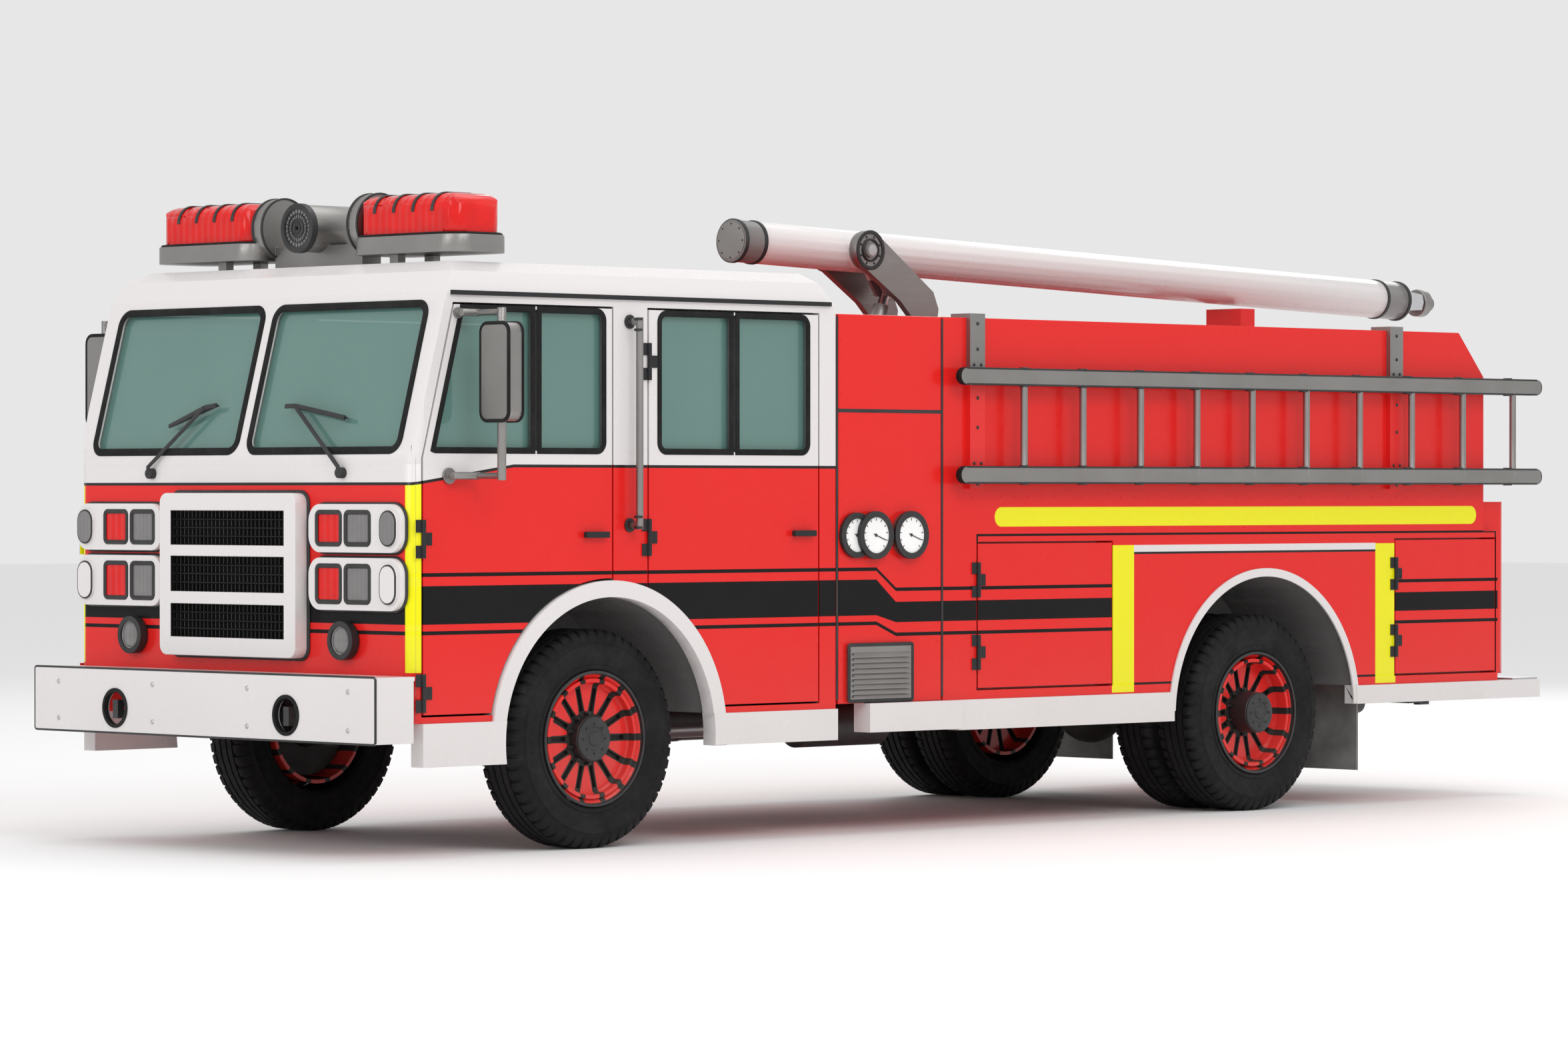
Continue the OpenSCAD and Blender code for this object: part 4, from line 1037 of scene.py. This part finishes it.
def pump_parts():
    faces, rings, marks, slats = shapes(4)
    for x, r, front in ((-1.784, 0.115, 0.032), (-2.038, 0.115, 0.032), (-1.665, 0.108, 0.016)):
        spot = at(x, HALF_W + front, 1.503)
        faces.collar(spot, (0, 1, 0), 0.002, 0.002, 0.0005, r - 0.020, 48)
        rings.collar(spot, (0, 1, 0), 0.012, 0.010, r - 0.024, r + 0.006, 48)
        for i in range(11):
            a = radians(225 - 27 * i)
            d = Vector((cos(a), 0, sin(a)))
            tick = [spot + d * (r - inset) + Vector((0, 0.003, 0)) for inset in (0.042, 0.030)]
            marks.sweep(tick, (0, 1, 0), 0.0022, 0.001, seg=6)
        a = radians(200)
        d = Vector((cos(a), 0, sin(a)))
        needle = [spot + d * reach + Vector((0, 0.004, 0)) for reach in (-0.018, r - 0.045)]
        marks.sweep(needle, (0, 1, 0), 0.0026, 0.0012, seg=6)
        marks.dome(spot + Vector((0, 0.002, 0)), (0, 1, 0), 0.009, 0.005, 16)
    faces.piece("gauge_faces", "enamel")
    rings.piece("gauge_rings", "trim")
    marks.piece("gauge_marks", "black")
    low, high = at(-2.062, HALF_W, 0.672), at(-1.609, HALF_W + 0.018, 0.954)
    for i in range(9):
        z = low.z + 0.030 + i * 0.0265
        verts = []
        for out, rise, drop in ((0.008, 0.0, -0.012), (0.010, 0.004, -0.008)):
            inner = [(x, high.y - 0.002, z + rise) for x in (low.x + 0.025, high.x - 0.025)]
            outer = [(x, high.y + out, z + drop) for x in (high.x - 0.025, low.x + 0.025)]
            verts += inner + outer
        slats.add(verts, [(0, 1, 2, 3), (7, 6, 5, 4), (0, 4, 5, 1), (1, 5, 6, 2), (2, 6, 7, 3), (3, 7, 4, 0)])
    slats.piece("vent_louvres", "grey")
    edge = rounded((low.x, low.z), (high.x, high.z), 0.008, 3)
    frame_edge = Shape()
    frame_edge.sweep([Vector((u, high.y, v)) for u, v in edge], (0, 1, 0), 0.009, 0.005, closed=True)
    for _, m in SIDES:
        y = m * (HALF_W + 0.001)
        for x in (-1.540, -2.295):
            frame_edge.sweep([at(x, y, 0.68), at(x, y, 2.60)], (0, 1, 0), 0.007, 0.003, seg=8)
        frame_edge.sweep([at(-1.545, y, 2.127), at(-2.290, y, 2.127)], (0, 1, 0), 0.009, 0.003, seg=8)
    frame_edge.piece("pump_panel_seams", "trim")


def outlet_parts():
    """Caps' rims and lugs round the hose connections on the right-hand panel, clear of the mating faces."""
    low = -(HALF_W + 0.010)
    rims, plates = shapes(2)
    for x, z, r in ((-1.750, 1.420, 0.062), (-2.090, 1.420, 0.062), (-1.920, 1.120, 0.114)):
        spot = at(x, low, z)
        rims.collar(spot, (0, -1, 0), 0, 0.012, r, r + 0.010)
        for a in angles(8):
            bolt = spot + Vector((cos(a), 0, sin(a))) * (r + 0.020)
            plates.dome(bolt, (0, -1, 0), 0.006, 0.005, 10)
    rims.piece("outlet_rims", "chrome")
    plates.piece("outlet_bolts", "alloy")
    levers = Shape()
    for i in range(4):
        x = -1.68 - 0.16 * i
        levers.box(at(x - 0.010, low - 0.004, 1.52), at(x + 0.010, low, 1.63))
        levers.rod(at(x, low, 1.60), at(x, low - 0.030, 1.57), 0.008, 12, 0.002)
        levers.dome(at(x, low - 0.028, 1.572), (0, -1, -0.4), 0.014, 0.014, 16)
    levers.piece("valve_levers", "trim")


pump_parts()
outlet_parts()


# ---------- ladders ----------

RUNGS, RUNG_X, RUNG_PITCH = 10, -2.813, 0.441


def ladder_parts():
    low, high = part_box("ladders")
    edges, caps, clamps = shapes(3)
    rail_y = HALF_W + 0.085
    for _, m in SIDES:
        for z in LADDER_ZS:
            for dz in (-0.040, 0.040):
                for dy in (-0.016, 0.016):
                    ends = [Vector((x, m * (rail_y + dy), z + dz)) for x in (low.x + 0.045, high.x - 0.045)]
                    edges.sweep(ends, (0, 1, 0), 0.0055, 0.004, seg=8)
            for x, turn in ((low.x + 0.041, -1), (high.x - 0.041, 1)):
                arc = [
                    Vector((x + turn * 0.041 * cos(t), m * rail_y, z + 0.041 * sin(t)))
                    for t in (pi * (i / 10 - 0.5) for i in range(11))
                ]
                caps.sweep(arc, (0, 1, 0), 0.004, 0.020, seg=8)
            for i in range(RUNGS):
                x = AXLE_X + RUNG_X - i * RUNG_PITCH
                for dz in (-0.0455, 0.0455):
                    spot = (x, m * rail_y, z + dz)
                    clamps.collar(spot, (0, 0, 1), 0.0045, 0.0045, 0.0, 0.026, 20)
    edges.piece("ladder_rail_edges", "trim")
    caps.piece("ladder_end_caps", "rubber")
    clamps.piece("ladder_rung_clamps", "black")
    straps = Shape()
    for _, m in SIDES:
        for x in BRACKET_XS:
            for z in LADDER_ZS:
                for dx in (-0.026, 0.026):
                    straps.dome(at(x + dx, m * (HALF_W + 0.028), z + 0.060), (0, m, 0), 0.009, 0.006, 10)
            for z in (1.76, 2.05, 2.20, 2.45, 2.58):
                straps.dome(at(x, m * (HALF_W + 0.028), z), (0, m, 0), 0.010, 0.006, 10)
    straps.piece("ladder_bracket_bolts", "black")


ladder_parts()


# ---------- boom ----------

PIN = at(PIN_X, 0, PIN_Z)
REST = radians(2)
BOOM_WAY = Vector((cos(REST), 0, sin(REST)))
BOOM_UP = Vector((-sin(REST), 0, cos(REST)))


def on_boom(along, y=0.0, up=0.0):
    return PIN + BOOM_WAY * along + Vector((0, y, 0)) + BOOM_UP * up


def boom_parts():
    front, rear, r = BOOM_FRONT, BOOM_REAR, BOOM_R
    bands, caps, bolts = shapes(3)
    for along in (front - 0.012, front - 0.150, rear + 0.012, rear + 0.205):
        bands.collar(on_boom(along), BOOM_WAY, 0.011, 0.011, r - 0.001, r + 0.006, 48)
    plate = [(0, 0), (0.100, 0), (0.100, 0.004), (0.080, 0.008), (0.020, 0.010), (0, 0.010)]
    caps.spin(on_boom(front - 0.001), BOOM_WAY, plate, 48)
    for a in angles(8):
        bolt = on_boom(front + 0.004, 0.088 * cos(a), 0.088 * sin(a))
        bolts.dome(bolt, BOOM_WAY, 0.006, 0.005, 10)
    caps.piece("boom_front_cap", "grey", "boom")
    bands.piece("boom_bands", "trim", "boom")
    bolts.piece("boom_cap_bolts", "black", "boom")
    pin, arms = shapes(2)
    for _, m in SIDES:
        head = [(0, 0), (0.030, 0), (0.030, 0.003), (0.012, 0.006), (0, 0.006)]
        pin.spin(PIN + Vector((0, m * 0.187, 0)), (0, m, 0), head, 32)
        arms.collar(PIN, (0, m, 0), -0.170, 0.178, 0.086, 0.106, 48)
        arms.collar(PIN, (0, m, 0), -0.170, 0.182, 0.052, 0.062, 48)
        for a in angles(8, 0.5):
            bolt = PIN + Vector((0.074 * cos(a), m * 0.171, 0.074 * sin(a)))
            arms.dome(bolt, (0, m, 0), 0.007, 0.006, 10)
    pin.piece("boom_pin_caps", "alloy", "boom")
    arms.piece("pivot_rings", "trim", "turntable")
    deck = Shape()
    centre = Vector((PIN.x, 0, 2.080))
    deck.collar(centre, (0, 0, 1), 0.012, 0.002, 0.430, 0.452, 72)
    for a in angles(24):
        bolt = centre + Vector((0.405 * cos(a), 0.405 * sin(a), 0))
        deck.dome(bolt, (0, 0, 1), 0.011, 0.008, 10)
    deck.piece("turntable_bolts", "black", "turntable")


boom_parts()


# ---------- seats ----------

def pad_mesh(name, low, high, cap):
    """A crowned cushion: a rounded block blown up as cloth, with how far it moves capped."""
    bm = bmesh.new()
    bmesh.ops.create_cube(bm, size=1.0)
    size = Vector(high) - Vector(low)
    for v in bm.verts:
        v.co = Vector((v.co.x * size.x, v.co.y * size.y, v.co.z * size.z)) + (Vector(low) + Vector(high)) / 2
    mesh = bpy.data.meshes.new(name)
    bm.to_mesh(mesh)
    bm.free()
    obj = new_object(name, mesh)
    bevel = obj.modifiers.new("round", "BEVEL")
    bevel.width = 0.022
    bevel.segments = 3
    remesh = obj.modifiers.new("grid", "REMESH")
    remesh.mode = "VOXEL"
    remesh.voxel_size = 0.014
    apply_all(obj)
    rest = [v.co.copy() for v in obj.data.vertices]
    cloth = obj.modifiers.new("cloth", "CLOTH")
    cloth.settings.use_pressure = True
    cloth.settings.uniform_pressure_force = 4.0
    cloth.settings.effector_weights.gravity = 0.0
    for step in range(1, 21):
        bpy.context.scene.frame_set(step)
    graph = bpy.context.evaluated_depsgraph_get()
    blown = bpy.data.meshes.new_from_object(obj.evaluated_get(graph))
    moved = [v.co.copy() for v in blown.vertices]
    obj.modifiers.clear()
    for v, a, b in zip(obj.data.vertices, rest, moved):
        push = b - a
        if push.length > cap:
            push = push.normalized() * cap
        v.co = a + push
    bpy.data.meshes.remove(blown)
    bpy.context.scene.frame_set(1)
    smooth = obj.modifiers.new("smooth", "SMOOTH")
    smooth.factor = 0.5
    smooth.iterations = 4
    sub = obj.modifiers.new("fine", "SUBSURF")
    sub.levels = sub.render_levels = 1
    apply_all(obj)
    for polygon in obj.data.polygons:
        polygon.use_smooth = True
    return obj


def apply_all(obj):
    graph = bpy.context.evaluated_depsgraph_get()
    mesh = bpy.data.meshes.new_from_object(obj.evaluated_get(graph))
    obj.modifiers.clear()
    old = obj.data
    obj.data = mesh
    bpy.data.meshes.remove(old)


def seats():
    cushion = pad_mesh("cushion_form", (-0.235, -0.232, -0.098), (0.255, 0.232, -0.018), 0.024)
    back = pad_mesh("back_form", (-0.098, -0.222, 0.060), (-0.020, 0.222, 0.665), 0.024)
    lean = Matrix.Rotation(radians(-8), 4, "Y")
    stands, piping = shapes(2)
    first = True
    rows = ((0.180, 0.860, 1.260, 1.490, "front"), (-0.990, 0.810, 0.668, 1.200, "crew"))
    for x, y, base, top, row in rows:
        for side, m in SIDES:
            place = at(x, m * y, top)
            for form, name, turn in (
                (cushion, "seat_cushion", Matrix.Identity(4)),
                (back, "seat_back", Matrix.Translation((-0.200, 0, -0.060)) @ lean),
            ):
                mesh = form.data.copy()
                mesh.transform(Matrix.Translation(place) @ turn)
                mesh.materials.append(MAT["cloth"])
                obj = new_object(f"{row}_{name}_{side}", mesh)
                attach(obj, BODY)
                if first:
                    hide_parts("seats")
                    first = False
            low = at(x - 0.215, m * y - 0.195, base)
            stands.box(low, low + Vector((0.43, 0.39, top - 0.135 - base)))
            pan = at(x - 0.235, m * y - 0.232, top - 0.135)
            stands.box(pan, pan + Vector((0.47, 0.464, 0.030)))
            for dy in (-0.205, 0.205):
                foot = at(x - 0.19, m * y + dy, top - 0.12)
                bent = [foot, foot + Vector((-0.055, 0, 0.10)), foot + Vector((-0.130, 0, 0.62))]
                piping.sweep(bent, (0, 1, 0), 0.016, 0.008)
    bpy.data.objects.remove(cushion)
    bpy.data.objects.remove(back)
    stands.piece("seat_stands", "black", width=0.008)
    piping.piece("seat_back_frames", "black")


seats()


# ---------- cab interior ----------

def dash_parts():
    rings, faces, knobs = shapes(3)
    for y in (0.72, 0.86, 1.00):
        spot = at(0.874, y, 1.765)
        way = Vector((-0.83, 0, 0.55))
        rings.collar(spot, way, 0, 0.012, 0.044, 0.052, 28)
        faces.collar(spot, way, 0, 0.004, 0.0005, 0.044, 28)
    for i in range(9):
        spot = at(0.852, 0.42 - 0.11 * i, 1.735)
        knobs.dome(spot, (-0.83, 0, 0.55), 0.016, 0.022, 16)
    rings.piece("dash_gauge_rings", "chrome")
    faces.piece("dash_gauge_faces", "enamel")
    knobs.piece("dash_knobs", "trim")


dash_parts()


# ---------- mirrors ----------

def mirror_parts():
    for side, m in SIDES:
        y0, y1 = HALF_W + 0.130, HALF_W + 0.330
        z0, z1 = BELT_Z + 0.200, BELT_Z + 0.660
        x0, x1 = AXLE_X + 0.852, AXLE_X + 0.948
        edge = rounded((y0 + 0.003, z0 + 0.003), (y1 - 0.003, z1 - 0.003), 0.042)
        rim, glass = shapes(2)
        for x in (x0 + 0.005, x1 - 0.005):
            rim.hem(x, edge, m, 0.010, 0.008)
        pane = rounded((y0 + 0.014, z0 + 0.014), (y1 - 0.014, z1 - 0.014), 0.034)
        glass.slab(pane, m, x0 - 0.003, x0 + 0.002)
        rim.piece(f"mirror_rim_{side}", "rubber", f"front_door_{side}")
        glass.piece(f"mirror_glass_{side}", "chrome", f"front_door_{side}")


mirror_parts()


# ---------- grab bars, rivets ---------------------

def grab_parts():
    caps = Shape()
    post_x = (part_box("front_door_left")[0].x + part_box("rear_door_left")[1].x) / 2
    for _, m in SIDES:
        for z in (1.560, 2.540):
            spot = Vector((post_x, m * HALF_W, z))
            caps.collar(spot, (0, m, 0), 0, 0.010, 0.018, 0.034, 28)
        for z in (0.800, 1.400):
            spot = Vector((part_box("body_shell")[0].x, m * 1.080, z))
            caps.collar(spot, (1, 0, 0), 0.008, 0, 0.015, 0.032, 24)
        for z in (1.548, 1.600, 2.500, 2.552):
            spot = (post_x, m * (HALF_W + 0.065), z)
            caps.collar(spot, (0, 0, 1), 0.006, 0.006, 0.017, 0.0215, 24)
    caps.piece("grab_bar_flanges", "trim")


def rivets():
    """Rows of small round heads along the panel edges."""
    heads = Shape()

    def row(a, b, step, way):
        a, b = Vector(a), Vector(b)
        n = max(2, int((b - a).length / step))
        for i in range(n + 1):
            heads.dome(a.lerp(b, i / n), way, 0.0055, 0.003, 8)

    for _, m in SIDES:
        y, way = m * HALF_W, (0, m, 0)
        row(at(-2.325, y, 0.70), at(-2.325, y, 1.72), 0.085, way)
        row(at(-1.570, y, 0.70), at(-1.570, y, 2.57), 0.085, way)
        row(at(-2.265, y, 0.70), at(-2.265, y, 2.57), 0.085, way)
        row(at(-2.42, y, 2.585), at(-6.20, y, 2.585), 0.10, way)
        row(at(-2.42, y, 1.690), at(-6.62, y, 1.690), 0.10, way)
        row(at(-3.80, y, 1.53), at(-5.68, y, 1.53), 0.10, way)
    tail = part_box("body_shell")[0].x
    row((tail, -1.12, 0.72), (tail, 1.12, 0.72), 0.10, (-1, 0, 0))
    heads.piece("body_rivets", "livery")


grab_parts()
rivets()


# ---------- tail ----------

def tail_parts():
    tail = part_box("body_shell")[0].x
    bezels, red, clear, reflect = shapes(4)
    for _, m in SIDES:
        for z, target in ((0.86, clear), (0.98, red), (1.10, red)):
            shape = rounded((0.905, z - 0.048), (1.045, z + 0.048), 0.02)
            bezels.hem(tail - 0.003, shape, m, 0.009, 0.007)
            inner = rounded((0.910, z - 0.043), (1.040, z + 0.043), 0.016)
            target.slab(inner, m, tail - 0.006, tail + 0.004)
        spot = Vector((tail, m * 0.975, 1.30))
        reflect.collar(spot, (1, 0, 0), 0.006, 0.002, 0.0005, 0.036, 28)
        bezels.collar(spot, (1, 0, 0), 0.008, 0.002, 0.036, 0.044, 28)
    bezels.piece("tail_lamp_bezels", "chrome")
    red.piece("tail_red_lamps", "red_lens", width=0.002)
    clear.piece("tail_clear_lamps", "grey_lens", width=0.002)
    reflect.piece("tail_reflectors", "red_lens")
    slats = Shape()
    for i in range(17):
        y = -0.84 + 1.68 * i / 16
        slats.box(at(-6.62, y - 0.030, 1.750), at(-2.42, y + 0.030, 1.762))
    slats.piece("hose_bed_slats", "alloy", width=0.003)


def underbody():
    springs, tanks, pipe = shapes(3)
    longest = 0.62
    for _, m in SIDES:
        for x, y, z in ((0.0, 0.45, 0.565), (REAR_X - AXLE_X, 0.3897, 0.600)):
            for leaf in range(4):
                half = longest - 0.11 * leaf
                pts = []
                for i in range(13):
                    along = half * (-1 + 2 * i / 12)
                    rise = 0.030 * (along / longest) ** 2
                    pts.append(at(x + along, m * y, z - 0.014 * leaf + rise))
                springs.sweep(pts, (0, 0, 1), 0.034, 0.0062, seg=8)
    tanks.rod(at(-1.95, -0.52, 0.52), at(-2.95, -0.52, 0.52), 0.115, 36, 0.03)
    tanks.rod(at(-1.95, 0.52, 0.52), at(-2.60, 0.52, 0.52), 0.115, 36, 0.03)
    for x in (-2.1, -2.45, -2.8):
        tanks.collar(at(x, -0.52, 0.52), (1, 0, 0), 0.02, 0.02, 0.114, 0.119, 36)
    pipe.sweep(
        [
            at(-0.6, -0.24, 0.55), at(-1.2, -0.24, 0.50), at(-1.7, -0.25, 0.48),
            at(-3.3, -0.25, 0.48), at(-3.5, -0.30, 0.48),
        ],
        (0, 0, 1), 0.045, 0.045, seg=16,
    )
    springs.piece("leaf_springs", "cast")
    tanks.piece("air_tanks", "black")
    pipe.piece("exhaust_pipe", "alloy")


tail_parts()
underbody()
